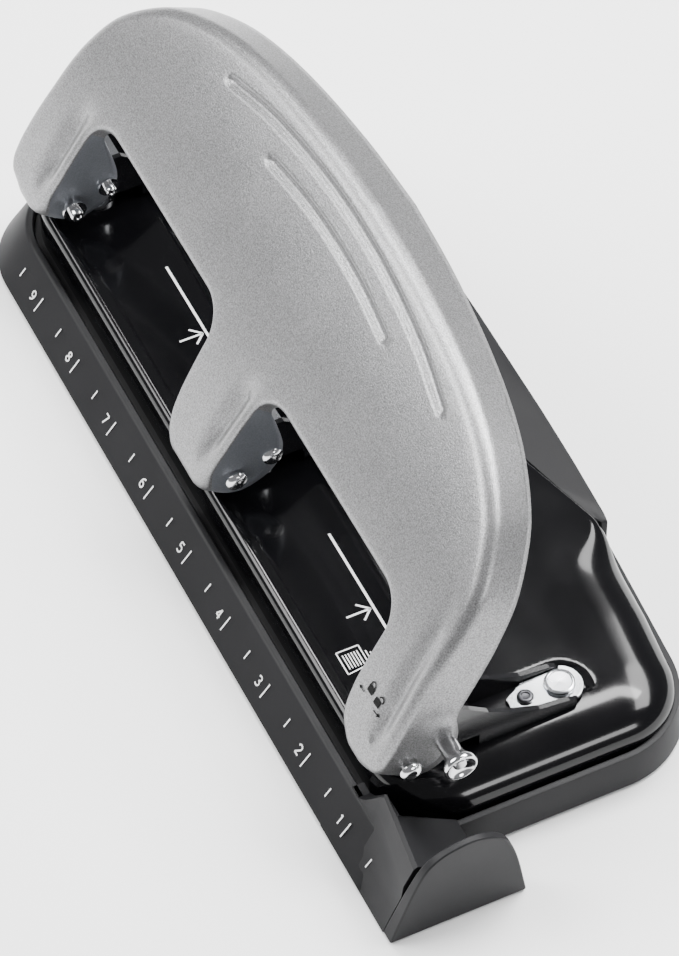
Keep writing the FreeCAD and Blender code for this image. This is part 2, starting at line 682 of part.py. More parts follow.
def face_cylinder(front):
    """Cylinder that carries the curved face, moved forwards by front; its seam is far behind."""
    across = 2 * handle_half + 20
    middle = Vector(-across / 2, size("bulge_up"), size("bulge") - size("face_arch"))
    along = Vector(1, 0, 0)
    cylinder = Part.makeCylinder(size("face_arch") + front, across, middle, along)
    cylinder.rotate(middle, along, 180)
    return cylinder


def handle_tub(inset, front, depth, radius):
    """The arched form as a layer behind the curved face, its front edge rounded."""
    wire = handle_outline(inset)
    wire.translate(Vector(0, 0, -2 * size("flange_depth") - size("bulge_up")))
    block = Part.Face(wire).extrude(Vector(0, 0, 2 * size("crest")))
    block = block.common(face_cylinder(front)).cut(face_cylinder(front - depth))
    reach = size("face_arch") + front

    def on_front(point):
        return abs(math.hypot(point.y - size("bulge_up"), point.z - size("bulge") + size("face_arch")) - reach)

    rim = [edge for edge in block.Edges if max(on_front(p) for p in edge.discretize(5)) < 1e-4]
    return block.makeFillet(radius, rim)


def rounded_prism(points, radius, start, length, axis):
    """Prism of a polygon whose upright edges are rounded; axis u or w."""
    face = Part.Face(Part.makePolygon(points + points[:1]))
    block = face.extrude(axis * length)
    block.translate(axis * start)
    return block.makeFillet(radius, [e for e in block.Edges if abs(abs(direction(e).dot(axis)) - 1) < 1e-6])


def face_height(v):
    """How far the curved face stands before its plane at a height up the slope."""
    return size("bulge") - size("face_arch") + math.sqrt(size("face_arch") ** 2 - (v - size("bulge_up")) ** 2)


def ear(outer_u, towards):
    """One ear: a rounded plate across u, its outer face at outer_u."""
    deep = -size("ear_depth")
    low = size("ear_bottom")
    high = size("window_top") - 5
    middle = (low + high) / 2
    points = [
        Vector(0, low + 1.4, face_height(low + 1.4) - size("sheet") / 2),
        Vector(0, low, -6),
        Vector(0, low + 2.4, -14),
        Vector(0, low + 8.6, deep),
        Vector(0, low + 17, deep),
        Vector(0, low + 23, deep + 2.5),
        Vector(0, high - 4, -6.5),
        Vector(0, high, face_height(high) - size("sheet") / 2),
        Vector(0, middle, face_height(middle) - size("sheet") / 2),
    ]
    axis = Vector(1, 0, 0)
    plate = Part.Face(Part.makePolygon(points + points[:1])).extrude(axis * size("sheet"))
    behind = [e for e in plate.Edges if abs(abs(direction(e).dot(axis)) - 1) < 1e-6 and e.Vertexes[0].Z < -5]
    plate = plate.makeFillet(1.5, behind)
    plate.translate(Vector(outer_u if towards > 0 else outer_u - size("sheet"), 0, 0))
    return plate


def ear_planes():
    """Outer faces of the six ears, and the way their sheet lies from there."""
    planes = [(-handle_half, 1), (handle_half, -1)]
    for sign in (-1, 1):
        planes.append((sign * size("middle_lobe"), -sign))
        planes.append((sign * (size("head_spacing") - size("outer_lobe")), sign))
    return planes


def make_handle_shell():
    """Pressed steel handle: a dished arch with two windows, three lobes and their ears."""
    sheet = size("sheet")
    outer = handle_tub(0, 0, size("flange_depth"), size("face_round"))
    inner = handle_tub(sheet, -sheet, size("flange_depth"), size("face_round") - sheet)
    shell = outer.cut(inner)
    # The lobes are open underneath but for a short turned-in lip.
    opening = 2 * (handle_half - sheet)
    below = Part.makeBox(opening, size("handle_bottom") + size("lobe_corner"), 40,
                         Vector(-opening / 2, 0, -size("lip_depth") - 40))
    shell = shell.cut(below)
    low = size("handle_bottom") - 20
    for sign in (-1, 1):
        near = sign * size("middle_lobe")
        far = sign * (size("head_spacing") - size("outer_lobe"))
        corners = [
            Vector(near, low, 0),
            Vector(far, low, 0),
            Vector(far, size("window_top"), 0),
            Vector(near, size("window_top"), 0),
        ]
        window = rounded_prism(corners, size("window_corner"), -40, 60, Vector(0, 0, 1))
        shell = shell.cut(window)
    for outer_u, towards in ear_planes():
        shell = shell.fuse(ear(outer_u, towards))
    shell = shell.removeSplitter()
    across = 2 * handle_half + 10
    bores = [("pivot_up", "pivot_back", "pivot_diameter", -across / 2, across)]
    bores.append(("drive_up", "drive_back", "drive_diameter", -across / 2, across))
    bores.append(("drive_up", "drive_back", "knob_stem", handle_half - 3, 6))
    for up, back, bore, begin, length in bores:
        start = Vector(begin, size(up), -size(back))
        hole = Part.makeCylinder(size(bore) / 2 + size("pin_fit"), length, start, Vector(1, 0, 0))
        shell = shell.cut(hole)
    solids = shell.Solids
    if len(solids) != 1:
        raise RuntimeError(f"handle shell has {len(solids)} solids")
    feature = fixed_shape("handle_shell", solids[0])
    feature.Placement = FreeCAD.Placement(origin + face_point, Rotation(Vector(1, 0, 0), size("handle_tilt")))
    return feature


ARM_Y = f"({DRIVE_Y} - {PIVOT_Y})"
ARM_Z = f"({DRIVE_Z} - {PIVOT_Z})"
ARM_SQUARED = f"({ARM_Y} * {ARM_Y} + {ARM_Z} * {ARM_Z})"
PRESSED_Y = f"({ARM_Y} * cos(press_angle * 1 deg) + {ARM_Z} * sin(press_angle * 1 deg))"
PRESSED_Z = f"({ARM_Z} * cos(press_angle * 1 deg) - {ARM_Y} * sin(press_angle * 1 deg))"


def ear_span(side):
    """Left and right outer faces of a lobe's ears, from its own head."""
    if side == "middle":
        return "-middle_lobe", "middle_lobe"
    inner, outer = "outer_lobe", "(handle_half - head_spacing)"
    return (f"-{outer}", inner) if side == "left" else (f"-{inner}", outer)


def make_rivet_pin(label, side, x, y, z, diameter):
    """A pin through both ears, with a dome on the right or a clip groove on the left lobe."""
    left, right = ear_span(side)
    radius = f"({diameter} / 2)"
    dome = "(rivet_head / 2)"
    profile = [
        (f"{left} - dome_height", "0"),
        (f"{left} - dome_height", f"{dome} - 1.2"),
        (f"{left} - 1.2", f"{dome} - 0.2"),
        (f"{left} - head_gap", dome),
        (f"{left} - head_gap", radius),
    ]
    if side == "left":
        profile += [
            (f"{right} + 0.5", radius),
            (f"{right} + 0.5", f"{radius} - 0.5"),
            (f"{right} + 1.3", f"{radius} - 0.5"),
            (f"{right} + 1.3", radius),
            (f"{right} + 3.1", radius),
            (f"{right} + 3.6", f"{radius} - 0.5"),
            (f"{right} + 3.6", "0"),
        ]
    else:
        profile += [
            (f"{right} + head_gap", radius),
            (f"{right} + head_gap", dome),
            (f"{right} + 1.2", f"{dome} - 0.2"),
            (f"{right} + dome_height", f"{dome} - 1.2"),
            (f"{right} + dome_height", "0"),
        ]
    return turned(label, profile, x, y, z)


def make_clips():
    """Retaining clips in the grooves of the two left pins."""
    right_ear = ear_span("left")[1]
    body = make_body("retaining_clips", f"-head_spacing + {right_ear} + 0.55")
    sketch = new_sketch(body, "YZ_Plane")
    for y, z, bore in ((PIVOT_Y, PIVOT_Z, "pivot_diameter"), (DRIVE_Y, DRIVE_Z, "drive_diameter")):
        add_circle(sketch, y, z, f"{bore} + 3.2")
        add_circle(sketch, y, z, f"{bore} - 0.96")
    pad(body, sketch, "0.7")
    return body


def make_return_spring(side, shift):
    """Torsion spring round a pivot pin, between the cheeks of its bracket."""
    wire = size("spring_wire")
    radius = size("spring_radius")
    pitch = wire * 1.25
    turns = 6
    length = pitch * turns
    helix = Part.makeHelix(pitch, length, radius)
    start = Part.Circle(Vector(radius, 0, 0), Vector(0, 1, 0), wire / 2).toShape()
    coil = Part.Wire(helix.Edges).makePipeShell([Part.Wire([start])], True, True)
    legs = []
    for height, way in ((0, -1), (length, 1)):
        leg = Part.makeCylinder(wire / 2, 4.4, Vector(radius, 0, height), Vector(0, way, 0))
        legs.append(leg)
    shape = coil.fuse(legs)
    # The helix axis is turned to lie along X, its legs reaching forward and back along the web.
    turn = Rotation(Vector(0, 1, 0), 90)
    feature = fixed_shape(f"return_spring_{side}", shape.Solids[0])
    pivot_y = size("handle_y") + size("pivot_up") * math.cos(tilt) + size("pivot_back") * math.sin(tilt)
    pivot_z = size("handle_z") + size("pivot_up") * math.sin(tilt) - size("pivot_back") * math.cos(tilt)
    feature.Placement = FreeCAD.Placement(origin + Vector(shift - length / 2, pivot_y, pivot_z), turn)
    return feature


# --- lock ----------------------------------------------------------------------------

def make_lock():
    """Sliding drive shaft of the right head with the lock knob and an end clip."""
    left, right = ear_span("right")
    radius = "(drive_diameter / 2)"
    inner = f"({right} - sheet - stem_inside + 1.5)"
    end = f"({right} + knob_length)"
    turned("lock_shaft", [
        (f"{left} - 1.9", "0"),
        (f"{left} - 1.9", f"{radius} - 0.4"),
        (f"{left} - 1.4", f"{radius} - 0.4"),
        (f"{left} - 1.4", radius),
        (f"{end} - 3", radius),
        (f"{end} - 3", "0"),
    ], "head_spacing", DRIVE_Y, DRIVE_Z)
    stem = "(knob_stem / 2)"
    flare = "(knob_flare / 2)"
    turned("lock_knob", [
        (inner, radius),
        (inner, stem),
        (f"{end} - 2.8", stem),
        (f"{end} - 1.1", flare),
        (end, flare),
        (end, f"{flare} - 1"),
        (f"{end} - 1", f"{flare} - 2.4"),
        (f"{end} - 1", "0"),
        (f"{end} - 3", "0"),
        (f"{end} - 3", radius),
    ], "head_spacing", DRIVE_Y, DRIVE_Z)
    body = make_body("lock_clip", f"head_spacing + {left} - 1.8", DRIVE_Y, DRIVE_Z)
    sketch = new_sketch(body, "YZ_Plane")
    add_circle(sketch, "0", "0", "drive_diameter + 3")
    add_circle(sketch, "0", "0", "drive_diameter - 0.76")
    pad(body, sketch, "0.35")


# --- assembly ------------------------------------------------------------------------

make_chip_tray()
make_rubber_feet()
make_base_shell()
for side, shift in HEADS.items():
    make_bracket(side, shift)
    make_guide_plate(side, shift)
    make_die_plate(side, shift)
    make_tongue(side, shift)
    make_punch_pin(side, shift)
    make_rivet_pin(f"pivot_pin_{side}", side, shift, PIVOT_Y, PIVOT_Z, "pivot_diameter")
    if side != "right":
        make_rivet_pin(f"drive_pin_{side}", side, shift, DRIVE_Y, DRIVE_Z, "drive_diameter")
for side, sign in (("left", -1), ("middle", 0), ("right", 1)):
    make_return_spring(side, sign * size("head_spacing"))
make_fasteners("mounting_bolts", "bolt_y", "bolt_head", "bolt_shank", "bolt_head_height",
               "bed_height + web_sheet + tongue_sheet", "shell_wall + web_sheet + tongue_sheet + 4")
make_fasteners("mounting_screws", "screw_y", "screw_head", "screw_shank", "screw_head_height",
               "bed_height + web_sheet + tongue_sheet", "shell_wall + web_sheet + tongue_sheet + 2")
make_nuts()
make_handle_shell()
make_clips()
make_lock()

doc.recompute()
for item in doc.Objects:
    if "Invalid" in item.State or "Error" in item.State:
        raise RuntimeError(f"{item.Name} failed: {item.State}")
for part in PARTS:
    if part.Shape.isNull() or not part.Shape.isValid() or not part.Shape.Solids:
        raise RuntimeError(f"{part.Label} has no valid shape")

pivot = origin + face_point
pivot += Vector(0, size("pivot_up") * math.cos(tilt) + size("pivot_back") * math.sin(tilt),
                size("pivot_up") * math.sin(tilt) - size("pivot_back") * math.cos(tilt))
print("pivot", [round(value, 4) for value in pivot], "stroke", round(stroke, 4))

os.makedirs("parts", exist_ok=True)
for part in PARTS:
    part.Shape.exportStep(f"parts/{part.Label}.step")
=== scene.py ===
import json
import math

import bmesh
import bpy
import numpy as np
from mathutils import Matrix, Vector
from mathutils.geometry import delaunay_2d_cdt


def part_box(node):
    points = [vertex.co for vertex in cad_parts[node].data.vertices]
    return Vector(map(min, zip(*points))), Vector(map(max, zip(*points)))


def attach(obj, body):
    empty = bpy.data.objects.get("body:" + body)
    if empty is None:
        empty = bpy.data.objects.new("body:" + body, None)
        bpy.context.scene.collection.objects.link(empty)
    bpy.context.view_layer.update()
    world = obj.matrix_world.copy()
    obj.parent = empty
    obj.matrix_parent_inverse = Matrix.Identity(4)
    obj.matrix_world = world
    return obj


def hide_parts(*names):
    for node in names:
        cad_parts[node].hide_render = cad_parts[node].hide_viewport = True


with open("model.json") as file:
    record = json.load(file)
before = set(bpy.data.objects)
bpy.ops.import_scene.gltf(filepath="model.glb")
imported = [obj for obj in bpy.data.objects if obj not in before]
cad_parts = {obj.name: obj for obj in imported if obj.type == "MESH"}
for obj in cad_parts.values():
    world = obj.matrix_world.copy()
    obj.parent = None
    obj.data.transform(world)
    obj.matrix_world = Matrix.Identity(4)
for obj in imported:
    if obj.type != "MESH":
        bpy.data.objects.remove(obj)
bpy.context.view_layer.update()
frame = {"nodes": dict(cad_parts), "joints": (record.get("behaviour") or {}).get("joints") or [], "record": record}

# Three-hole paper punch. Lengths here are millimetres from the punch's own corner:
# X = 0 at the middle head, Y = 0 at the tray's front foot edge, Z = 0 on the table.
MM = 0.001
INCH = 25.4
NODES = frame["nodes"]
RECORD = frame["record"]
JOINTS = {joint["name"]: joint for joint in frame["joints"]}


def box_mm(node):
    low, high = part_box(node)
    return low / MM, high / MM


TRAY_LOW, TRAY_HIGH = box_mm("chip_tray")
HEAD_LOW, HEAD_HIGH = box_mm("punch_pin_middle")
ORIGIN = Vector(((HEAD_LOW.x + HEAD_HIGH.x) / 2, TRAY_LOW.y, 0))
SPACING = box_mm("punch_pin_right")[0].x - HEAD_LOW.x
HEADS = {"left": -SPACING, "middle": 0.0, "right": SPACING}
HEAD_Y = 31.0
PIVOT = Vector(JOINTS["handle_press"]["pos_m"]) / MM - ORIGIN


def local_box(node):
    low, high = box_mm(node)
    return low - ORIGIN, high - ORIGIN


def place(point):
    """Position in metres in the frame of a point in the punch's own millimetres."""
    return (Vector(point) + ORIGIN) * MM


# --- materials -----------------------------------------------------------------------

COAT_ROUGHNESS = 0.06
BUMP_DEPTH = 0.1
PATCH = 18


def add_noise(nodes, links, coords, size, detail):
    """Surface noise whose size is in mm."""
    noise = nodes.new("ShaderNodeTexNoise")
    noise.inputs["Scale"].default_value = 1 / (size * MM)
    noise.inputs["Detail"].default_value = detail
    links.new(coords.outputs["Object"], noise.inputs["Vector"])
    return noise.outputs["Fac"]


def spread(nodes, links, noise, middle, share):
    """The noise's middle range mapped to a share below and above a middle value."""
    ramp = nodes.new("ShaderNodeMapRange")
    ramp.inputs["From Min"].default_value = 0.3
    ramp.inputs["From Max"].default_value = 0.7
    ramp.inputs["To Min"].default_value = middle * (1 - share)
    ramp.inputs["To Max"].default_value = middle * (1 + share)
    links.new(noise, ramp.inputs["Value"])
    return ramp.outputs["Result"]


def material(name, colour, metallic, roughness, grain, tint, coat=0.0, bump=0.0, sparkle=0.0, smudge=0.0,
             specular=0.5):
    """A Principled material. Its fine noise, grain mm in size, drives bump and sparkle (a colour share);
    its broad noise drives tint and smudge (shares of the colour and the roughness)."""
    mat = bpy.data.materials.new(name)
    mat.use_nodes = True
    nodes, links = mat.node_tree.nodes, mat.node_tree.links
    shader = nodes["Principled BSDF"]
    shader.inputs["Metallic"].default_value = metallic
    shader.inputs["Coat Weight"].default_value = coat
    shader.inputs["Coat Roughness"].default_value = COAT_ROUGHNESS
    shader.inputs["Specular IOR Level"].default_value = specular
    coords = nodes.new("ShaderNodeTexCoord")
    fine = add_noise(nodes, links, coords, grain, 3.0)
    broad = add_noise(nodes, links, coords, PATCH, 4.0)
    both = nodes.new("ShaderNodeMath")
    both.operation = "MULTIPLY"
    links.new(spread(nodes, links, fine, 1, sparkle), both.inputs[0])
    links.new(spread(nodes, links, broad, 1, tint), both.inputs[1])
    shade = nodes.new("ShaderNodeVectorMath")
    shade.operation = "SCALE"
    shade.inputs[0].default_value = colour
    links.new(both.outputs["Value"], shade.inputs["Scale"])
    links.new(shade.outputs["Vector"], shader.inputs["Base Color"])
    if smudge:
        links.new(spread(nodes, links, broad, roughness, smudge), shader.inputs["Roughness"])
    else:
        shader.inputs["Roughness"].default_value = roughness
    if bump:
        relief = nodes.new("ShaderNodeBump")
        relief.inputs["Strength"].default_value = bump
        relief.inputs["Distance"].default_value = BUMP_DEPTH * MM
        links.new(fine, relief.inputs["Height"])
        links.new(relief.outputs["Normal"], shader.inputs["Normal"])
    return mat


SILVER = material("silver_paint", (0.222, 0.222, 0.225), 0.78, 0.35, grain=0.42, bump=0.7, sparkle=0.42,
                  tint=0.02, smudge=0.05)
# Darker, bluer copy of the silver paint for the ears' sides: painted shade, not a different finish.
EAR_SHADE_PAINT = material("ear_painted_shade", (0.21, 0.222, 0.245), 0.70, 0.40, grain=0.45, bump=0.3, sparkle=0.12,
                     tint=0.03, smudge=0.08)
GLOSS = material("gloss_black", (0.002, 0.002, 0.0025), 0.0, 0.14, coat=0.15, grain=1.2, tint=0.1, sparkle=0.05,
                 smudge=0.2, specular=0.24)
MATTE = material("matte_charcoal", (0.0095, 0.0095, 0.0105), 0.0, 0.45, grain=0.5, bump=0.12, sparkle=0.08,
                 tint=0.05, smudge=0.08, specular=0.16)
BRACKET = material("black_steel", (0.006, 0.006, 0.007), 0.0, 0.2, coat=0.2, grain=0.8, bump=0.05, sparkle=0.1,
                   tint=0.05, smudge=0.2)
BRIGHT = material("bright_steel", (0.55, 0.56, 0.58), 1.0, 0.25, grain=0.6, bump=0.05, sparkle=0.05, tint=0.06,
                  smudge=0.3)
CHROME = material("polished_plate", (0.70, 0.70, 0.71), 1.0, 0.12, grain=1.5, tint=0.04, smudge=0.3)
DARK = material("dark_steel", (0.05, 0.05, 0.055), 0.8, 0.3, grain=0.8, tint=0.05, smudge=0.2)
RUBBER = material("foot_rubber", (0.02, 0.02, 0.02), 0.0, 0.8, grain=0.6, bump=0.2, tint=0.1)
INK = material("white_ink", (0.80, 0.80, 0.80), 0.0, 0.55, grain=0.5, sparkle=0.04, tint=0.03)
BLACK_INK = material("black_ink", (0.004, 0.004, 0.004), 0.0, 0.6, grain=0.5, sparkle=0.1, tint=0.03,
                     specular=0.1)

SLOT_LOOK = {
    "tray_plastic": MATTE, "shell_plastic": GLOSS, "foot_rubber": RUBBER, "handle_paint": SILVER,
    "bracket_steel": BRACKET, "bright_steel": BRIGHT, "tool_steel": BRIGHT, "spring_steel": BRIGHT,
    "dark_steel": DARK, "plated_steel": CHROME,
}
for entry in RECORD["subparts"]:
    mesh = NODES[entry["node"]].data
    mesh.materials.clear()
    mesh.materials.append(SLOT_LOOK[entry["material_slot"]])


# --- mesh helpers --------------------------------------------------------------------

def make_object(name, verts, faces, mats, body, smooth_angle, replaces=(), weld=1e-7, second=()):
    """A mesh piece from points in the punch's own millimetres, riding on a body.
    The faces listed in second take the second material."""
    mesh = bpy.data.meshes.new(name)
    mesh.from_pydata([place(v) for v in verts], [], faces)
    for mat in mats:
        mesh.materials.append(mat)
    for index in second:
        mesh.polygons[index].material_index = 1
    work = bmesh.new()
    work.from_mesh(mesh)
    bmesh.ops.remove_doubles(work, verts=work.verts, dist=weld)
    bmesh.ops.recalc_face_normals(work, faces=work.faces)
    work.to_mesh(mesh)
    work.free()
    mesh.validate()
    mesh.shade_smooth()
    if smooth_angle is not None:
        mesh.set_sharp_from_angle(angle=math.radians(smooth_angle))
    obj = bpy.data.objects.new(name, mesh)
    bpy.context.scene.collection.objects.link(obj)
    if replaces:
        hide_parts(*replaces)
    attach(obj, body)
    return obj


def join_loops(faces, low, high):
    """Quads between two closed loops of vertex indices."""
    count = len(low)
    for i in range(count):
        j = (i + 1) % count
        faces.append([low[i], low[j], high[j], high[i]])


def add_loop(verts, faces, points, previous):
    """One closed loop of points, joined to the loop before it."""
    loop = range(len(verts), len(verts) + len(points))
    verts += points
    if previous:
        join_loops(faces, previous, loop)
    return loop


def add_face(verts, faces, points, triangles, previous):
    """A triangulated face whose first points run round its edge, joined to the loop before it."""
    start = len(verts)
    verts += points
    faces += [[start + i for i in face] for face in triangles]
    join_loops(faces, previous, range(start, start + len(previous)))


def skin(loops, open_start=False):
    """Points and faces of a skin through loops of equal count, closed at its ends."""
    count = len(loops[0])
    verts, faces, previous = [], [], None
    for loop in loops:
        previous = add_loop(verts, faces, loop, previous)
    if not open_start:
        faces.append(list(reversed(range(count))))
    faces.append(list(previous))
    return verts, faces


def lathe(name, profile, centre, mat, body, replaces, steps=40):
    """A turned piece: (along, radius) points in mm spun about X through centre."""
    verts, faces, rings = [], [], []
    for along, radius in profile:
        if radius < 1e-6:
            rings.append([len(verts)])
            verts.append(centre + Vector((along, 0, 0)))
            continue
        rings.append(list(range(len(verts), len(verts) + steps)))
        for i in range(steps):
            turn = 2 * math.pi * i / steps
            verts.append(centre + Vector((along, radius * math.cos(turn), radius * math.sin(turn))))
    for low, high in zip(rings, rings[1:]):
        for i in range(steps):
            j = (i + 1) % steps
            if len(low) == 1:
                faces.append((low[0], high[i], high[j]))
            elif len(high) == 1:
                faces.append((low[i], high[0], low[j]))
            else:
                faces.append((low[i], high[i], high[j], low[j]))
    return make_object(name, verts, faces, [mat], body, 40.0, replaces)


def arc(centre, radius, start, end, steps):
    """Points on a circle in a plane, angles in degrees."""
    points = []
    for i in range(steps + 1):
        turn = math.radians(start + (end - start) * i / steps)
        points.append((centre[0] + radius * math.cos(turn), centre[1] + radius * math.sin(turn)))
    return points


def rounded_path(corners, step, closed=False):
    """A polyline through (x, y, corner radius) corners, resampled at about one step."""
    points = []
    count = len(corners)
    for i, (x, y, radius) in enumerate(corners):
        here = Vector((x, y))
        if radius <= 0 or (not closed and i in (0, count - 1)):
            points.append(here)
            continue
        before = Vector(corners[i - 1][:2]) - here
        after = Vector(corners[(i + 1) % count][:2]) - here
        half = before.angle(after) / 2
        reach = min(radius / math.tan(half), before.length * 0.499, after.length * 0.499)
        radius = reach * math.tan(half)
        start, end = here + before.normalized() * reach, here + after.normalized() * reach
        centre = here + (before.normalized() + after.normalized()).normalized() * (radius / math.sin(half))
        first, last = start - centre, end - centre
        sweep = first.angle_signed(last)
        steps = max(2, int(abs(sweep) * radius / step) + 1)
        for k in range(steps + 1):
            points.append(centre + rotated(first, -sweep * k / steps))
    return points


def rotated(vector, angle):
    c, s = math.cos(angle), math.sin(angle)
    return Vector((vector.x * c - vector.y * s, vector.x * s + vector.y * c))


def resample(points, step, closed=True):
    """Points spaced evenly along a polyline."""
    chain = [Vector(p) for p in points] + ([Vector(points[0])] if closed else [])
    lengths = [0.0]
    for a, b in zip(chain, chain[1:]):
        lengths.append(lengths[-1] + (b - a).length)
    total = lengths[-1]
    count = max(3, round(total / step))
    out = []
    k = 0
    for i in range(count if closed else count + 1):
        target = total * i / count
        while k < len(lengths) - 2 and lengths[k + 1] < target:
            k += 1
        span = lengths[k + 1] - lengths[k]
        mix = (target - lengths[k]) / span if span > 0 else 0
        out.append(chain[k].lerp(chain[k + 1], mix))
    return out


def smooth_curve(points, per_span=12):
    """Catmull-Rom points through control points."""
    ctrl = [Vector(p) for p in points]
    ctrl = [2 * ctrl[0] - ctrl[1]] + ctrl + [2 * ctrl[-1] - ctrl[-2]]
    out = []
    for i in range(1, len(ctrl) - 2):
        a, b, c, d = ctrl[i - 1:i + 3]
        for k in range(per_span):
            t = k / per_span
            out.append(0.5 * (2 * b + (c - a) * t + (2 * a - 5 * b + 4 * c - d) * t * t
                              + (3 * b - a - 3 * c + d) * t ** 3))
    out.append(ctrl[-2])
    return out


def fill_region(outline, spacing, extra=()):
    """Triangles over a closed outline with an even grid of inner points."""
    ring = np.array([tuple(p) for p in outline])
    low, high = ring.min(0), ring.max(0)
    xs = np.arange(low[0] + spacing / 2, high[0], spacing)
    ys = np.arange(low[1] + spacing / 2, high[1], spacing)
    grid = np.array([(x + (spacing / 2 if j % 2 else 0), y) for j, y in enumerate(ys) for x in xs])
    keep = inside(grid, ring) & (distance_to(grid, ring) > spacing * 0.55)
    grid = grid[keep]
    points = [Vector(p) for p in ring] + [Vector(p) for p in grid] + [Vector(p) for p in extra]
    edges = [(i, (i + 1) % len(ring)) for i in range(len(ring))]
    result = delaunay_2d_cdt(points, edges, [list(range(len(ring)))], 1, 1e-5)
    return np.array([tuple(v) for v in result[0]]), result[2]


def inside(points, ring):
    """Which points lie inside a closed ring."""
    x, y = points[:, 0][:, None], points[:, 1][:, None]
    a, b = ring, np.roll(ring, -1, 0)
    crosses = (a[:, 1] > y) != (b[:, 1] > y)
    rise = np.where(b[:, 1] == a[:, 1], 1e-9, b[:, 1] - a[:, 1])
    at = a[:, 0] + (y - a[:, 1]) * (b[:, 0] - a[:, 0]) / rise
    return (crosses & (x < at)).sum(1) % 2 == 1


BLOCK = 4000


def distance_to(points, ring, closed=True, nearest=False):
    """Distance of each point to a ring or open line, in blocks to spare memory. With nearest, also
    the number of the nearest segment."""
    a = ring if closed else ring[:-1]
    b = np.roll(ring, -1, 0) if closed else ring[1:]
    out = np.empty(len(points))
    which = np.empty(len(points), int)
    ab = b - a
    size = (ab ** 2).sum(1)
    for begin in range(0, len(points), BLOCK):
        p = points[begin:begin + BLOCK][:, None, :]
        t = np.clip(((p - a) * ab).sum(2) / size, 0, 1)
        gap = np.sqrt((((a + t[..., None] * ab) - p) ** 2).sum(2))
        best = gap.argmin(1)
        rows = np.arange(len(best))
        out[begin:begin + BLOCK] = gap[rows, best]
        which[begin:begin + BLOCK] = best
    return (out, which) if nearest else out


def ease(value):
    """Smooth step from 0 to 1."""
    value = np.clip(value, 0, 1)
    return value * value * (3 - 2 * value)


def blurred(ring, times):
    """Values round a closed loop, smoothed with their neighbours."""
    for _ in range(times):
        ring = (np.roll(ring, 1, 0) + 2 * ring + np.roll(ring, -1, 0)) / 4
    return ring


def inward_normals(ring):
    """Unit normals towards the inside of an anticlockwise loop."""
    along = np.roll(ring, -2, 0) - np.roll(ring, 2, 0)
    along /= np.linalg.norm(along, axis=1)[:, None]
    return np.stack([-along[:, 1], along[:, 0]], 1)


# --- handle --------------------------------------------------------------------------

# The handle's own plane: u along X, v up the slope, w forwards out of the face.
TILT = math.radians(58.5)
UP = Vector((0, math.cos(TILT), math.sin(TILT)))
OUT = Vector((0, -math.sin(TILT), math.cos(TILT)))
PIVOT_V, PIVOT_W = 11.2, -8.2
FACE_ORIGIN = Vector((0, PIVOT.y, PIVOT.z)) - UP * PIVOT_V - OUT * PIVOT_W
HALF = 121.4
MIDDLE_EAR, LOBE_EAR = 13.5, SPACING - 12.0
FOOT = 1.6
WINDOW_TOP = 46.0
SHEET = 1.3
BACK_STEPS, ROLL_STEPS = 6, 7
HANDLE_GRID = 2.2
GROOVE_DEPTH, GROOVE_REACH, GROOVE_SIDE = 1.0, 1.9, 1.5
VALLEY_DEPTH, VALLEY_WIDTH = 2.3, 8.6


def on_handle(u, v, w):
    """A point of the handle's own plane in the punch's millimetres."""
    return FACE_ORIGIN + Vector((u, 0, 0)) + UP * v + OUT * w


def handle_outline():
    """The handle seen square on: one closed loop round the arch, three lobes and two windows."""
    right = rounded_path([
        (0, FOOT, 0), (MIDDLE_EAR - 1.5, FOOT, 8), (MIDDLE_EAR + 0.6, 20, 20),
        (MIDDLE_EAR + 2.4, WINDOW_TOP, 10), (LOBE_EAR - 1.6, WINDOW_TOP, 10), (LOBE_EAR - 0.4, 20, 20),
        (LOBE_EAR + 2.0, FOOT, 9), (HALF - 1.5, FOOT, 11), (HALF, 26, 0),
    ], 1.0)
    arch = smooth_curve([
        (HALF, 26), (HALF + 0.2, 36), (HALF - 0.8, 47), (HALF - 2.8, 57), (HALF - 6.9, 68), (106.5, 78.5),
        (98.0, 85.4), (84, 92.2), (68, 96.8), (50, 99.8), (25, 102.0), (0, 102.8),
    ])
    half = right[:-1] + arch
    left = [Vector((-p.x, p.y)) for p in reversed(half[1:-1])]
    return resample(half + left, 1.0)


def face_curve(v):
    """Curve of the whole face in profile."""
    return 0.17 * v - 0.0024 * v * v


GROOVES = (
    [(-64.5, 87.5), (-45, 91.9), (-22, 94.7), (0, 95.6), (22, 94.7), (45, 91.9), (64.5, 87.5)],
    [(-34.5, 84.8), (-17, 86.9), (0, 87.5), (17, 86.9), (34.5, 84.8)],
)


def groove_gap(points):
    """Distance of points on the face to the nearer groove's centre line."""
    gap = np.full(len(points), 1e3)
    for line in GROOVES:
        path = np.array([tuple(p) for p in smooth_curve(line, 10)])
        gap = np.minimum(gap, distance_to(points, path, closed=False))
    return gap


# How far an ear reaches behind the face, at heights up the slope.
EAR = [(2, 7), (5, 12.5), (8, 16.0), (12, 18.6), (15.5, 20.0), (20.5, 20.2), (26.5, 18.2), (31, 14.0), (35, 9.8),
       (37.5, 6.4), (41, 4.2)]


def ear_reach(v):
    """How far an ear reaches behind the face at a height up the slope."""
    return float(np.interp(v, [e[0] for e in EAR], [e[1] for e in EAR], left=6.0, right=4.2))


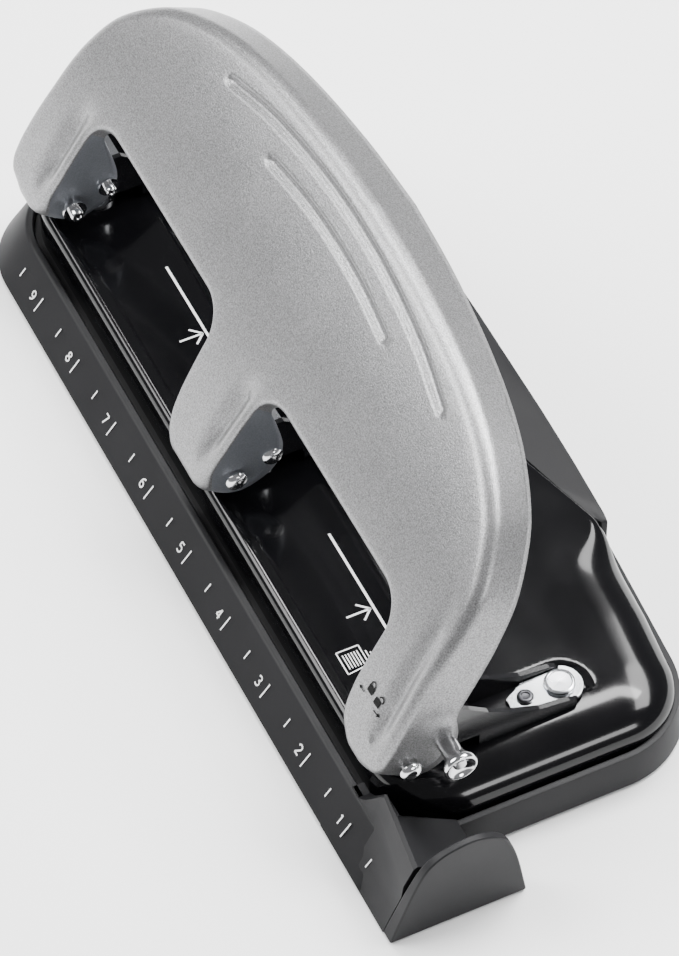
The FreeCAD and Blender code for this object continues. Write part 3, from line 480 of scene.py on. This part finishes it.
def rim_at(u, v):
    """Bend radius, depth, outward flare and ear share of the rim at a point of the outline."""
    outside = abs(u) > LOBE_EAR + 6 and v > FOOT + 3
    if outside or v > WINDOW_TOP + 4:
        upper = min(1.0, max(0.0, (v - 34) / 34))
        flange = 13.0 + 2.0 * max(0.0, 1 - abs(u) / 60)
        depth = max(ear_reach(v), flange) if v > 10 else ear_reach(v)
        flare = (0.4 + 2.6 * min(1.0, max(0.0, (v - 16) / 22))) * (1 - 0.77 * upper)
        return 2.8 + 1.0 * upper, depth, flare, 0.8 * (1 - upper)
    if v > WINDOW_TOP - 1.5:
        return 2.6, 4.2, 0.0, 0.0
    if v < FOOT + 1.2:
        return 6.0, 7.2, 0.0, 0.0
    low = min(1.0, max(0.0, (12 - v) / 9))
    return 1.5 + 4.5 * low, max(ear_reach(v), 4.2), 0.8, 1.0 if v < 38.5 else 0.0


def make_handle():
    ring = np.array([tuple(p) for p in handle_outline()])
    count = len(ring)
    rims = np.array([rim_at(*p) for p in ring])
    # Rim points on the ears' sides, which take the darker copy of the silver paint as painted shade.
    shaded_ears = (rims[:, 3] > 0.9) & (ring[:, 1] > FOOT + 1.0)
    rims = blurred(rims, 10)
    radius, depth, flare, ear = rims[:, :1], rims[:, 1:2], rims[:, 2:3], rims[:, 3]
    inward = blurred(inward_normals(ring), 4)
    verts, faces, previous = [], [], None
    # From the rim's rear edge forwards, then round the bend to the face.
    for step in range(BACK_STEPS):
        share = step / BACK_STEPS
        spot = ring + inward * flare * share
        back = face_curve(ring[:, 1:]) - depth + (depth - radius) * share
        previous = add_loop(verts, faces, [on_handle(*p) for p in np.hstack([spot, back])], previous)
    bend = ring + inward * flare
    for step in range(ROLL_STEPS):
        turn = math.pi / 2 * step / ROLL_STEPS
        spot = bend + inward * radius * (1 - math.cos(turn))
        rise = face_curve(spot[:, 1:]) - radius * (1 - math.sin(turn))
        previous = add_loop(verts, faces, [on_handle(*p) for p in np.hstack([spot, rise])], previous)
    # Faces of the ears' sides that get the painted-shade copy of the silver paint.
    shaded_ear_faces = [k * count + i for k in range(BACK_STEPS) for i in range(count) if shaded_ears[i]]
    inner = bend + inward * radius
    extra = groove_points() + valley_points(inner, ear)
    flat, triangles = fill_region([Vector(p) for p in inner], HANDLE_GRID, extra)
    dip = GROOVE_DEPTH * ease((GROOVE_REACH - groove_gap(flat)) / GROOVE_SIDE)
    edge, which = distance_to(flat, inner, nearest=True)
    # Only the ears' edges that face right have a valley, which starts above the ear's foot.
    facing = np.clip((-inward[which, 0] - 0.6) / 0.3, 0, 1)
    share = ear[which] * ease((flat[:, 1] - 10) / 14) * facing
    dip += VALLEY_DEPTH * share * np.sin(np.pi * np.clip(edge / VALLEY_WIDTH, 0, 1)) ** 2
    points = [on_handle(u, v, face_curve(v) - d) for (u, v), d in zip(flat, dip)]
    add_face(verts, faces, points, triangles, previous)
    handle = make_object("handle_shell_formed", verts, faces, [SILVER, EAR_SHADE_PAINT], "handle",
                         None, ("handle_shell",), weld=2e-5, second=shaded_ear_faces)
    sheet = handle.modifiers.new("sheet", "SOLIDIFY")
    sheet.thickness = SHEET * MM
    sheet.offset = -1.0
    return handle


def groove_points():
    """Closer points along the grooves, so that they press in cleanly."""
    points = []
    for line in GROOVES:
        path = smooth_curve(line, 10)
        path = [path[0] * 2 - path[1]] + path + [path[-1] * 2 - path[-2]]
        path = resample(path, 0.9, closed=False)
        for offset in range(-5, 6):
            for a, b in zip(path, path[1:]):
                side = Vector((-(b - a).y, (b - a).x)).normalized()
                points.append((a + b) / 2 + side * (offset * 0.5))
    return points


def valley_points(inner, share):
    """Closer points in the shallow valley beside an ear."""
    inward = inward_normals(inner)
    points = []
    for reach in (1.2, 2.4, 3.6, 4.8):
        for spot, way, part in zip(inner[::2], inward[::2], share[::2]):
            if part > 0.3 and spot[1] > 8 and way[0] < -0.5:
                points.append(Vector(spot + way * reach))
    return points


HANDLE = make_handle()


# --- pins, clips and lock knob -------------------------------------------------------

RIVET_RADIUS, RIVET_HEIGHT = 3.2, 2.0
KNOB_SHORT = 2.0


def dome():
    """A domed rivet head as (height, radius) points from its rim to its top."""
    turns = [math.pi / 2 * i / 8 for i in range(9)]
    return [(RIVET_HEIGHT * math.sin(turn), RIVET_RADIUS * math.cos(turn)) for turn in turns]


def make_pin(name, node, stem, head_both):
    """A pin with a domed head at its left end, and at its right end a head or a groove for a clip."""
    low, high = local_box(node)
    centre = Vector((0, (low.y + high.y) / 2, (low.z + high.z) / 2))
    left, right = low.x + RIVET_HEIGHT, high.x - RIVET_HEIGHT
    profile = [(left - x, r) for x, r in reversed(dome())]
    profile += [(left + 0.05, RIVET_RADIUS), (left + 0.06, stem)]
    if head_both:
        profile += [(right - 0.06, stem), (right - 0.05, RIVET_RADIUS)] + [(right + x, r) for x, r in dome()]
    else:
        end = high.x
        profile += [(end - 3.1, stem), (end - 3.1, stem - 0.5), (end - 2.3, stem - 0.5), (end - 2.3, stem),
                    (end - 0.5, stem), (end - 0.1, stem - 0.25), (end, stem - 0.6), (end, stem * 0.45),
                    (end - 0.3, stem * 0.35), (end - 0.3, 0)]
    lathe(name, profile, centre, CHROME, "handle", (node,))


for side in HEADS:
    make_pin(f"pivot_rivet_{side}", f"pivot_pin_{side}", 2.0, side != "left")
for side in ("left", "middle"):
    make_pin(f"drive_rivet_{side}", f"drive_pin_{side}", 1.6, side != "left")


def make_knob():
    """A turned knob with a waist, a flared rim and a dished end."""
    low, high = local_box("lock_knob")
    centre = Vector((0, (low.y + high.y) / 2, (low.z + high.z) / 2))
    end = high.x - KNOB_SHORT
    profile = [(low.x, 1.6), (low.x, 2.8), (end - 7.0, 2.8), (end - 5.2, 2.85), (end - 3.9, 3.15),
               (end - 2.9, 3.75), (end - 2.2, 4.35), (end - 1.7, 4.65), (end - 1.1, 4.78), (end - 0.5, 4.72),
               (end - 0.12, 4.5),
               (end, 4.2), (end - 0.05, 3.9), (end - 0.5, 3.55), (end - 1.0, 2.9), (end - 1.35, 2.1),
               (end - 1.4, 1.9), (end - 1.05, 1.7), (end - 1.0, 0.6), (end - 1.1, 0)]
    lathe("lock_knob_turned", profile, centre, CHROME, "lock", ("lock_knob",), steps=56)


make_knob()


# --- mounting hardware ---------------------------------------------------------------

TURN_STEPS = 48


def turned_row(name, node, profile, mat):
    """Three alike turned pieces about upright axes, one at each head; along is measured from their top."""
    low, high = local_box(node)
    y = (low.y + high.y) / 2
    verts, faces = [], []
    for shift in HEADS.values():
        loops = []
        for along, radius in profile:
            turns = [2 * math.pi * i / TURN_STEPS for i in range(TURN_STEPS)]
            loops.append([Vector((shift + radius * math.cos(turn), y + radius * math.sin(turn), high.z + along))
                          for turn in turns])
        start = len(verts)
        more_verts, more_faces = skin(loops)
        verts += more_verts
        faces += [[start + i for i in face] for face in more_faces]
    make_object(name, verts, faces, [mat], "punch_base", 28.0, (node,))


def make_fasteners():
    low, high = local_box("mounting_bolts")
    reach, head = high.z - low.z, (high.y - low.y) / 2
    turned_row("mounting_bolts_turned", "mounting_bolts", [
        (-reach, 1.9), (-1.6, 2.0), (-1.55, head - 0.25), (-1.45, head), (-0.75, head + 0.15), (-0.25, head),
        (-0.05, head - 0.35), (0.0, head - 0.6), (-0.1, head - 0.85), (-0.3, head - 0.95), (-0.32, 0.5),
        (-0.34, 0.05),
    ], BRIGHT)
    low, high = local_box("mounting_screws")
    reach, head = high.z - low.z, (high.y - low.y) / 2
    turned_row("mounting_screws_turned", "mounting_screws", [
        (-reach, 1.1), (-1.2, 1.2), (-1.15, head), (-0.5, head + 0.1), (-0.12, head - 0.25), (0.0, head - 0.6),
        (-0.05, 1.25), (-0.5, 1.1), (-0.55, 0.05),
    ], DARK)


TONGUE_END, TONGUE_RADIUS = 70.6, 6.2


def make_tongue(side):
    """A pressed tongue: a narrow front that widens to a round end under the bolt."""
    low, high = local_box(f"mounting_tongue_{side}")
    half = [(1.8, low.y), (3.4, low.y + 3.0), (5.0, 61.0), (5.0, 72.3)]
    half += arc((0, TONGUE_END), TONGUE_RADIUS, 21, 90, 14)
    outline = half + [(-x, y) for x, y in reversed(half[:-1])]
    verts, faces = skin([[Vector((HEADS[side] + x, y, z)) for x, y in outline] for z in (low.z, high.z)])
    tongue = make_object(f"mounting_tongue_{side}_pressed", verts, faces, [BRIGHT], "punch_base",
                         30.0, (f"mounting_tongue_{side}",))
    soften(tongue, 0.25, 2, 40.0)


def soften(obj, width, segments, angle):
    """Rounded edges, where two faces meet at more than an angle in degrees."""
    bevel = obj.modifiers.new("edges", "BEVEL")
    bevel.width = width * MM
    bevel.segments = segments
    bevel.limit_method = "ANGLE"
    bevel.angle_limit = math.radians(angle)
    bevel.harden_normals = True


make_fasteners()
for side in HEADS:
    make_tongue(side)


# --- chip tray -----------------------------------------------------------------------

STOP_FACE, STOP_BACK, STOP_LEAN = 143.9, 148.4, 2.3
HALF_TRAY = 131.0
TRAY_DEPTH = TRAY_HIGH.y - TRAY_LOW.y
FEET, LEDGE, RIM = 0.5, 9.0, 12.4
STRIP_RUN, DRAFT = 9.4, 1.2
PLATFORM_TOP, DECK_TOP = 24.6, 21.6


def tray_ring(inset, front, radius, draft):
    """Plan outline of the tray's wall at one level, with a square front right corner."""
    side = HALF_TRAY - draft - inset
    back = TRAY_DEPTH - draft - inset
    bow = 6.0
    corners = [(-side, front, radius), (side, front, 1.2), (side, back - bow, radius),
               (60, back - 1.4, 60), (0, back, 200), (-60, back - 1.4, 60), (-side, back - bow, radius)]
    return resample(rounded_path(corners, 1.5, True), 2.0)


def aligned(rings):
    """Rings of equal length that start at the same corner."""
    count = max(len(r) for r in rings)
    out = []
    for ring in rings:
        total = sum((b - a).length for a, b in zip(ring, ring[1:] + ring[:1]))
        out.append(resample(ring, total / count)[:count])
    return out


def make_tray_walls():
    # Each level: inset, front edge, corner radius, draft and height, from the foot over the rim to the floor.
    levels = [
        (0.6, 0.5, 27.0, 0.0, FEET), (0.0, 0.1, 27.0, 0.0, FEET + 0.8),
        (0.0, STRIP_RUN - 0.5, 26.0, DRAFT, RIM - 0.6), (0.15, STRIP_RUN + 0.05, 26.0, DRAFT, RIM - 0.15),
        (0.55, STRIP_RUN + 0.55, 25.6, DRAFT, RIM), (1.7, STRIP_RUN + 1.7, 24.4, DRAFT, RIM),
        (2.1, STRIP_RUN + 2.1, 24.0, DRAFT, RIM - 0.4), (2.3, STRIP_RUN + 2.3, 23.8, DRAFT, LEDGE),
        (6.3, STRIP_RUN + 8.3, 19.8, DRAFT, LEDGE), (6.3, STRIP_RUN + 8.3, 19.8, DRAFT, FEET + 2.0),
    ]
    rings = aligned([tray_ring(*level[:4]) for level in levels])
    verts, faces = skin([[Vector((p.x, p.y, level[4])) for p in ring] for ring, level in zip(rings, levels)])
    make_object("chip_tray_walls", verts, faces, [MATTE], "tray", 30.0, ("chip_tray",))


def make_platform():
    """The strip's rise to the paper platform, from the rim line up to the stop."""
    loops = []
    for x, rise in ((106.0, 0.0), (110.0, 0.0), (113.0, 0.22), (116.0, 0.55), (118.5, 0.85), (120.0, 1.0),
                    (127.5, 1.0), (127.7, 1.0), (132.0, 1.0), (138.0, 1.0), (STOP_FACE + 0.3, 1.0)):
        lean = max(0.0, (x - 120.0) / (STOP_FACE - 120.0))
        height = RIM + (PLATFORM_TOP - RIM) * rise
        front = [
            (0.15, FEET), (0.15 + 4.5 * (1 - 0.35 * lean), 6.2 + 1.6 * lean),
            (STRIP_RUN - 3.9 * lean, RIM - 0.2 + 1.6 * lean * 0.6),
            (STRIP_RUN + (1.3 - 4.6 * lean) * rise, RIM + (height - RIM) * 0.45),
            (STRIP_RUN + (2.9 - 3.3 * lean) * rise, height - 0.7 * rise),
            (STRIP_RUN + 0.6 + (3.4 - 3.2 * lean) * rise, height),
        ]
        # Before the shell it ends upright; beside the shell it falls back to the rim's level.
        back = [(13.2, height), (13.2, FEET)] if x < 127.6 else [(30.0, RIM), (30.0, FEET)]
        loops.append([Vector((x, y, z)) for y, z in front + back])
    verts, faces = skin(loops)
    soften(make_object("tray_platform", verts, faces, [MATTE], "tray", 30.0), 0.35, 2, 40.0)


def make_stop():
    """Paper stop: an upright tab with an arched top, whose inner face leans out."""
    outline = smooth_curve([
        (0.3, 0.5), (3.1, 8.7), (6.5, 18.3), (10.2, 26.4), (14.5, 30.6), (20.2, 32.5), (26, 32.7),
        (31.6, 29.9), (35.2, 25.0), (37.8, 16.5), (40.6, 0.5),
    ], 6)
    profile = [(p.x, p.y) for p in outline]
    height = max(z for _, z in profile)
    verts, faces = skin([[Vector((STOP_FACE + STOP_LEAN * z / height, y, z)) for y, z in profile],
                         [Vector((STOP_BACK, y, z)) for y, z in profile]])
    soften(make_object("paper_stop", verts, faces, [MATTE], "tray", 40.0), 0.5, 4, 50.0)


def make_deck():
    """Rear deck that the shell wraps round; its top slopes down to the back."""
    front = [(-62, 107.6), (-59.5, 105.4), (-46.6, 102.0), (-30, 97.2), (-26, 96.7), (26, 96.7), (30, 97.2),
             (46.6, 102.0), (59.5, 105.4), (62, 107.6)]
    back = [(62, 109.4), (40, 110.4), (20, 110.9), (0, 111.1), (-20, 110.9), (-40, 110.4), (-62, 109.4)]
    ring = resample(rounded_path([(x, y, 2.0) for x, y in front + back], 1.0, True), 2.0)
    loops = []
    centre = Vector((0, 104))
    for inset, z in ((0.0, FEET + 0.5), (0.0, DECK_TOP - 1.0), (0.35, DECK_TOP - 0.3), (1.0, DECK_TOP)):
        loop = []
        for p in ring:
            shift = (centre - p).normalized() * inset
            slope = 0.05 * max(0.0, p.y - 98) if z > LEDGE else 0
            loop.append(Vector((p.x + shift.x, p.y + shift.y, z - slope)))
        loops.append(loop)
    verts, faces = skin(loops, open_start=True)
    make_object("tray_rear_deck", verts, faces, [MATTE], "tray", 30.0)


make_tray_walls()
make_platform()
make_stop()
make_deck()


# --- base shell ----------------------------------------------------------------------

BED = 22.5
SHELL_HALF, SHELL_FRONT, SHELL_BACK = 127.0, 14.0, 107.0
SHELL_GRID = 1.15
ROUND_STEPS = 12
BED_HALF, BED_REAR, BED_SINK = 119, 46.5, 1.0
HOLLOW_Y, HOLLOW_HALF, HOLLOW_RADIUS, HOLLOW_SINK = 60, 10.5, 9.6, 1.3
DIE_HOLE = 5.4


def shell_ring():
    """Plan outline of the shell, with the notch for the tray's rear deck."""
    deck = [(66, 107.0, 2), (60.0, 106.6, 4), (46.6, 102.6, 8), (30.0, 97.6, 6), (25.6, 96.2, 4)]
    right = [(SHELL_HALF, SHELL_FRONT, 22), (SHELL_HALF, SHELL_BACK - 5.5, 25), (92, SHELL_BACK - 1.6, 40)]
    right += deck
    left = [(-x, y, r) for x, y, r in reversed(deck)]
    left += [(-92, SHELL_BACK - 1.6, 40), (-SHELL_HALF, SHELL_BACK - 5.5, 25), (-SHELL_HALF, SHELL_FRONT, 22)]
    return resample(rounded_path(right + left, 1.2, True), 1.6)


def shell_round(x, y):
    """Width and drop of the shell's edge rounding: crisp in front, pillowed at the ends and back."""
    if abs(x) < 68 and y > 90:
        return 2.5, 2.0
    front = max(0.0, min(1.0, (30 - y) / 14)) * max(0.0, min(1.0, (124 - abs(x)) / 10))
    return 15.0 * (1 - front) + 2.6 * front, 9.0 * (1 - front) + 2.6 * front


def bed_relief(points):
    """Height of the shell's top: a sunk paper bed, and hollows round the tongues."""
    x, y = points[:, 0], points[:, 1]
    ramp = ease((y - SHELL_FRONT - 2.4) / 3.0) * ease((BED_HALF - np.abs(x)) / 3.0)
    ramp = ramp * ease((BED_REAR - y) / 2.4)
    level = -BED_SINK * ramp
    for shift in HEADS.values():
        gap = np.sqrt((x - shift) ** 2 + np.clip(np.abs(y - HOLLOW_Y) - HOLLOW_HALF, 0, None) ** 2)
        level -= HOLLOW_SINK * ease((HOLLOW_RADIUS - gap) / 2.4) * (1 - ramp)
    return level


def make_shell():
    ring = np.array([tuple(p) for p in shell_ring()])
    after = np.roll(ring, -1, 0)
    if ((after[:, 1] + ring[:, 1]) * (after[:, 0] - ring[:, 0])).sum() > 0:
        ring = ring[::-1]
    count = len(ring)
    rounds = blurred(np.array([shell_round(*p) for p in ring]), 14)
    wide, drop = rounds[:, :1], rounds[:, 1:]
    inward = inward_normals(ring)
    levels = [(ring, np.full((count, 1), LEDGE + 0.05)), (ring, np.full((count, 1), LEDGE + 1.0)),
              (ring, BED - drop - 0.2)]
    for step in range(ROUND_STEPS + 1):
        turn = math.pi / 2 * step / ROUND_STEPS
        levels.append((ring + inward * wide * (1 - math.cos(turn)), BED - drop * (1 - math.sin(turn))))
    verts, faces, previous = [], [], None
    for spot, z in levels:
        loop = [Vector((p[0], p[1], float(h[0]))) for p, h in zip(spot, z)]
        previous = add_loop(verts, faces, loop, previous)
    inner = ring + inward * wide
    flat, triangles = fill_region([Vector(p) for p in inner], SHELL_GRID)
    height = BED + bed_relief(flat) * np.clip(distance_to(flat, inner) / 0.5, 0, 1)
    in_hole = over_dies(flat)
    triangles = [face for face in triangles if not all(in_hole[i] for i in face)]
    add_face(verts, faces, [Vector((p[0], p[1], h)) for p, h in zip(flat, height)], triangles, previous)
    make_object("base_shell_moulded", verts, faces, [GLOSS], "punch_base", 40.0,
                ("base_shell",), weld=2e-5)


def over_dies(points):
    """Which points lie inside the openings over the dies."""
    hit = np.zeros(len(points), bool)
    for shift in HEADS.values():
        hit |= (points[:, 0] - shift) ** 2 + (points[:, 1] - HEAD_Y) ** 2 < DIE_HOLE ** 2
    return hit


make_shell()


# --- printed marks -------------------------------------------------------------------

def print_mark(name, shapes, to_space, mat, body):
    """Flat printed shapes: closed outlines in mm, laid on a surface by to_space."""
    verts, faces = [], []
    for outline in shapes:
        start = len(verts)
        verts += [to_space(x, y) for x, y in outline]
        faces.append(list(range(start, start + len(outline))))
    return make_object(name, verts, faces, [mat], body, None)


def stroke(points, width):
    """Closed outline of a line of constant width."""
    left, right = [], []
    line = [Vector(p) for p in points]
    for i, p in enumerate(line):
        ahead = line[min(i + 1, len(line) - 1)] - line[max(i - 1, 0)]
        side = Vector((-ahead.y, ahead.x)).normalized() * (width / 2)
        left.append(tuple(p + side))
        right.append(tuple(p - side))
    return left + right[::-1]


def strokes(points, width):
    """A bent line as a row of short quads."""
    return [stroke([a, b], width) for a, b in zip(points, points[1:])]


STRIP_Y, STRIP_Z = 0.1, FEET + 0.8
STRIP_SLOPE = math.atan2(RIM - STRIP_Z, STRIP_RUN - 0.6)
RULER_LINE = 0.5
RULER_MIDDLE = 6.4
DIGIT_SHIFT = 3.9
INK_LIFT, BED_INK_LIFT, PLATFORM_INK_LIFT, ICON_LIFT = 0.06, 0.05, 0.42, 0.22


def on_strip(x, up):
    """A point on the ruler strip, up its slope from the front foot edge; past 112 the strip bulges."""
    lift = INK_LIFT if x < 112 else PLATFORM_INK_LIFT
    run, rise = math.cos(STRIP_SLOPE), math.sin(STRIP_SLOPE)
    return Vector((x, STRIP_Y + up * run - lift * rise, STRIP_Z + up * rise + lift * run))


# Strokes of each digit, about its own middle.
DIGITS = {
    "1": [[(-0.55, 1.05), (0.1, 1.6), (0.1, -1.6)]],
    "2": [[(-0.9, 0.95), (-0.6, 1.45), (0, 1.6), (0.65, 1.4), (0.9, 0.85), (0.7, 0.25), (-0.9, -1.6),
           (0.95, -1.6)]],
    "3": [[(-0.85, 1.3), (-0.2, 1.6), (0.55, 1.45), (0.85, 0.9), (0.5, 0.25), (-0.1, 0.1)],
          [(-0.1, 0.1), (0.6, -0.1), (0.95, -0.75), (0.6, -1.4), (-0.1, -1.6), (-0.9, -1.3)]],
    "4": [[(0.45, -1.6), (0.45, 1.6), (-0.95, -0.75), (1.0, -0.75)]],
    "5": [[(0.8, 1.6), (-0.7, 1.6), (-0.8, 0.2), (0, 0.4), (0.7, 0.15), (0.95, -0.55), (0.65, -1.3), (0, -1.6),
           (-0.9, -1.3)]],
    "6": [[(0.7, 1.5), (0, 1.35), (-0.65, 0.7), (-0.9, -0.4), (-0.7, -1.2), (0, -1.6), (0.7, -1.3), (0.9, -0.6),
           (0.6, 0.05), (0, 0.25), (-0.6, 0.05), (-0.85, -0.5)]],
    "7": [[(-0.9, 1.6), (0.9, 1.6), (-0.2, -1.6)]],
    "8": [[(0, 0.1), (-0.65, 0.45), (-0.75, 1.1), (0, 1.6), (0.75, 1.1), (0.65, 0.45), (0, 0.1), (-0.75, -0.3),
           (-0.9, -1.0), (0, -1.6), (0.9, -1.0), (0.75, -0.3), (0, 0.1)]],
    "9": [[(-0.7, -1.5), (0, -1.35), (0.65, -0.7), (0.9, 0.4), (0.7, 1.2), (0, 1.6), (-0.7, 1.3), (-0.9, 0.6),
           (-0.6, -0.05), (0, -0.25), (0.6, -0.05), (0.85, 0.5)]],
}


def make_ruler():
    """Ticks every half inch, and a digit beside each whole inch."""
    zero = SPACING + 1.25 * INCH
    shapes = []
    for half_inch in range(1, 20):
        x = zero - half_inch * INCH / 2
        full = half_inch % 2 == 0
        middle, length = (RULER_MIDDLE, 5.1) if full else (RULER_MIDDLE + 1.0, 3.1)
        shapes.append(stroke([(x, middle - length / 2), (x, middle + length / 2)], RULER_LINE))
        for line in DIGITS[str(half_inch // 2)] if full else ():
            placed = [(x - DIGIT_SHIFT + 0.92 * a, RULER_MIDDLE + 0.95 * b) for a, b in line]
            shapes += strokes(placed, RULER_LINE)
    print_mark("ruler_print", shapes, on_strip, INK, "tray")


def on_bed(x, y):
    return Vector((x, y, BED - BED_SINK + BED_INK_LIFT))


def make_bed_prints():
    """Two edge lines with arrows for the paper, and a small stack of pages."""
    shapes = []
    for left, right, arrow in ((33.0, 84.0, 61.0), (-74.0, -30.0, -47.0)):
        shapes.append(stroke([(left, 38.0), (right, 38.0)], 0.75))
        shapes.append(stroke([(arrow, 29.8), (arrow, 37.0)], 0.6))
        shapes += strokes([(arrow - 2.9, 33.9), (arrow, 37.0), (arrow + 2.9, 33.9)], 0.6)
    # A page with lines on it, and the edges of two sheets behind.
    page = [(70.6, 22.0), (70.6, 28.6), (77.6, 28.6), (78.4, 22.0), (70.6, 22.0)]
    shapes += strokes(page, 0.4)
    for i in range(6):
        shapes.append(stroke([(72.0, 23.2 + 0.85 * i), (77.0, 23.2 + 0.85 * i)], 0.36))
    for lift in (1.0, 2.0):
        shapes.append(stroke([(72.0 + lift, 28.6 + lift), (78.4 + lift, 28.6 + lift)], 0.36))
    print_mark("bed_prints", shapes, on_bed, INK, "punch_base")


def on_face(u, v):
    return on_handle(u, v, face_curve(v) + INK_LIFT)


def make_lock_icons():
    """Padlock signs on the right lobe: closed and open, each with its arrow."""
    shapes = []
    for u, v, open_shackle, way in ((103.7, 23.4, False, -1), (107.8, 22.8, True, 1)):
        shapes.append([(u - 1.3, v - 1.2), (u + 1.3, v - 1.2), (u + 1.3, v + 1.0), (u - 1.3, v + 1.0)])
        shift = 0.9 if open_shackle else 0.0
        loop = [(u + shift + 0.9, v + 0.9)] + arc((u + shift, v + 1.6), 0.9, 0, 180, 8)
        if not open_shackle:
            loop.append((u - 0.9, v + 0.9))
        shapes += strokes(loop, 0.4)
        start, level = u + 0.9 * way - 0.6, v - 2.7
        shapes.append(stroke([(start, level), (start + 2.6 * way, level)], 0.3))
        tip = (start + 2.9 * way, level)
        shapes.append([tip, (tip[0] - 1.1 * way, level + 0.6), (tip[0] - 1.1 * way, level - 0.6)])
    icons = print_mark("lock_icons", shapes, on_face, BLACK_INK, "handle")
    wrap = icons.modifiers.new("on_paint", "SHRINKWRAP")
    wrap.target = HANDLE
    wrap.wrap_method = "NEAREST_SURFACEPOINT"
    wrap.wrap_mode = "ABOVE_SURFACE"
    wrap.offset = ICON_LIFT * MM


make_ruler()
make_bed_prints()
make_lock_icons()


# --- stage ---------------------------------------------------------------------------

def make_stage():
    """A plain pale floor, and a dim even surround."""
    size = 3.0
    mesh = bpy.data.meshes.new("floor")
    corners = [(-size, -size, 0), (size, -size, 0), (size, size, 0), (-size, size, 0)]
    mesh.from_pydata(corners, [], [(0, 1, 2, 3)])
    floor = bpy.data.objects.new("floor", mesh)
    bpy.context.scene.collection.objects.link(floor)
    mat = bpy.data.materials.new("floor_white")
    mat.use_nodes = True
    shader = mat.node_tree.nodes["Principled BSDF"]
    shader.inputs["Base Color"].default_value = (0.93, 0.93, 0.93, 1)
    shader.inputs["Roughness"].default_value = 0.9
    mesh.materials.append(mat)
    world = bpy.data.worlds.new("studio")
    bpy.context.scene.world = world
    world.use_nodes = True
    background = world.node_tree.nodes["Background"]
    background.inputs["Color"].default_value = (0.97, 0.98, 1.0, 1)
    background.inputs["Strength"].default_value = 0.30


def area_light(name, position, target, width, height, power):
    data = bpy.data.lights.new(name, "AREA")
    data.shape = "RECTANGLE"
    data.size, data.size_y = width, height
    data.energy = power
    lamp = bpy.data.objects.new(name, data)
    bpy.context.scene.collection.objects.link(lamp)
    lamp.location = position
    lamp.rotation_euler = (Vector(target) - Vector(position)).to_track_quat("-Z", "Y").to_euler()


make_stage()
area_light("key", (-0.7, -1.1, 1.3), (0, 0, 0.03), 1.0, 1.0, 48)
area_light("top", (-0.05, 0.95, 1.25), (0, 0, 0.05), 1.4, 0.5, 42)
area_light("strip", (-0.4, 0.35, 1.3), (-0.05, 0, 0.05), 1.5, 0.24, 42)
area_light("side", (1.3, 0.35, 0.75), (0, 0, 0.03), 0.5, 0.3, 7)

# Camera at the photograph's angle.
AZIMUTH, ELEVATION = math.radians(64.2445), math.radians(51.5746)
CAMERA_TARGET, CAMERA_DISTANCE = Vector((19.1926, 47.8892, 25.0)), 1459.86
SENSOR, LENS = 36, 199.67
BACK = Vector((math.sin(AZIMUTH) * math.cos(ELEVATION), -math.cos(AZIMUTH) * math.cos(ELEVATION),
               math.sin(ELEVATION)))
camera_data = bpy.data.cameras.new("camera")
camera_data.sensor_width = SENSOR
camera_data.lens = LENS
camera_data.clip_start = 0.05
camera = bpy.data.objects.new("camera", camera_data)
bpy.context.scene.collection.objects.link(camera)
camera.location = place(CAMERA_TARGET + BACK * CAMERA_DISTANCE)
camera.rotation_mode = "QUATERNION"
camera.rotation_quaternion = (-BACK).to_track_quat("-Z", "Y")
bpy.context.scene.camera = camera
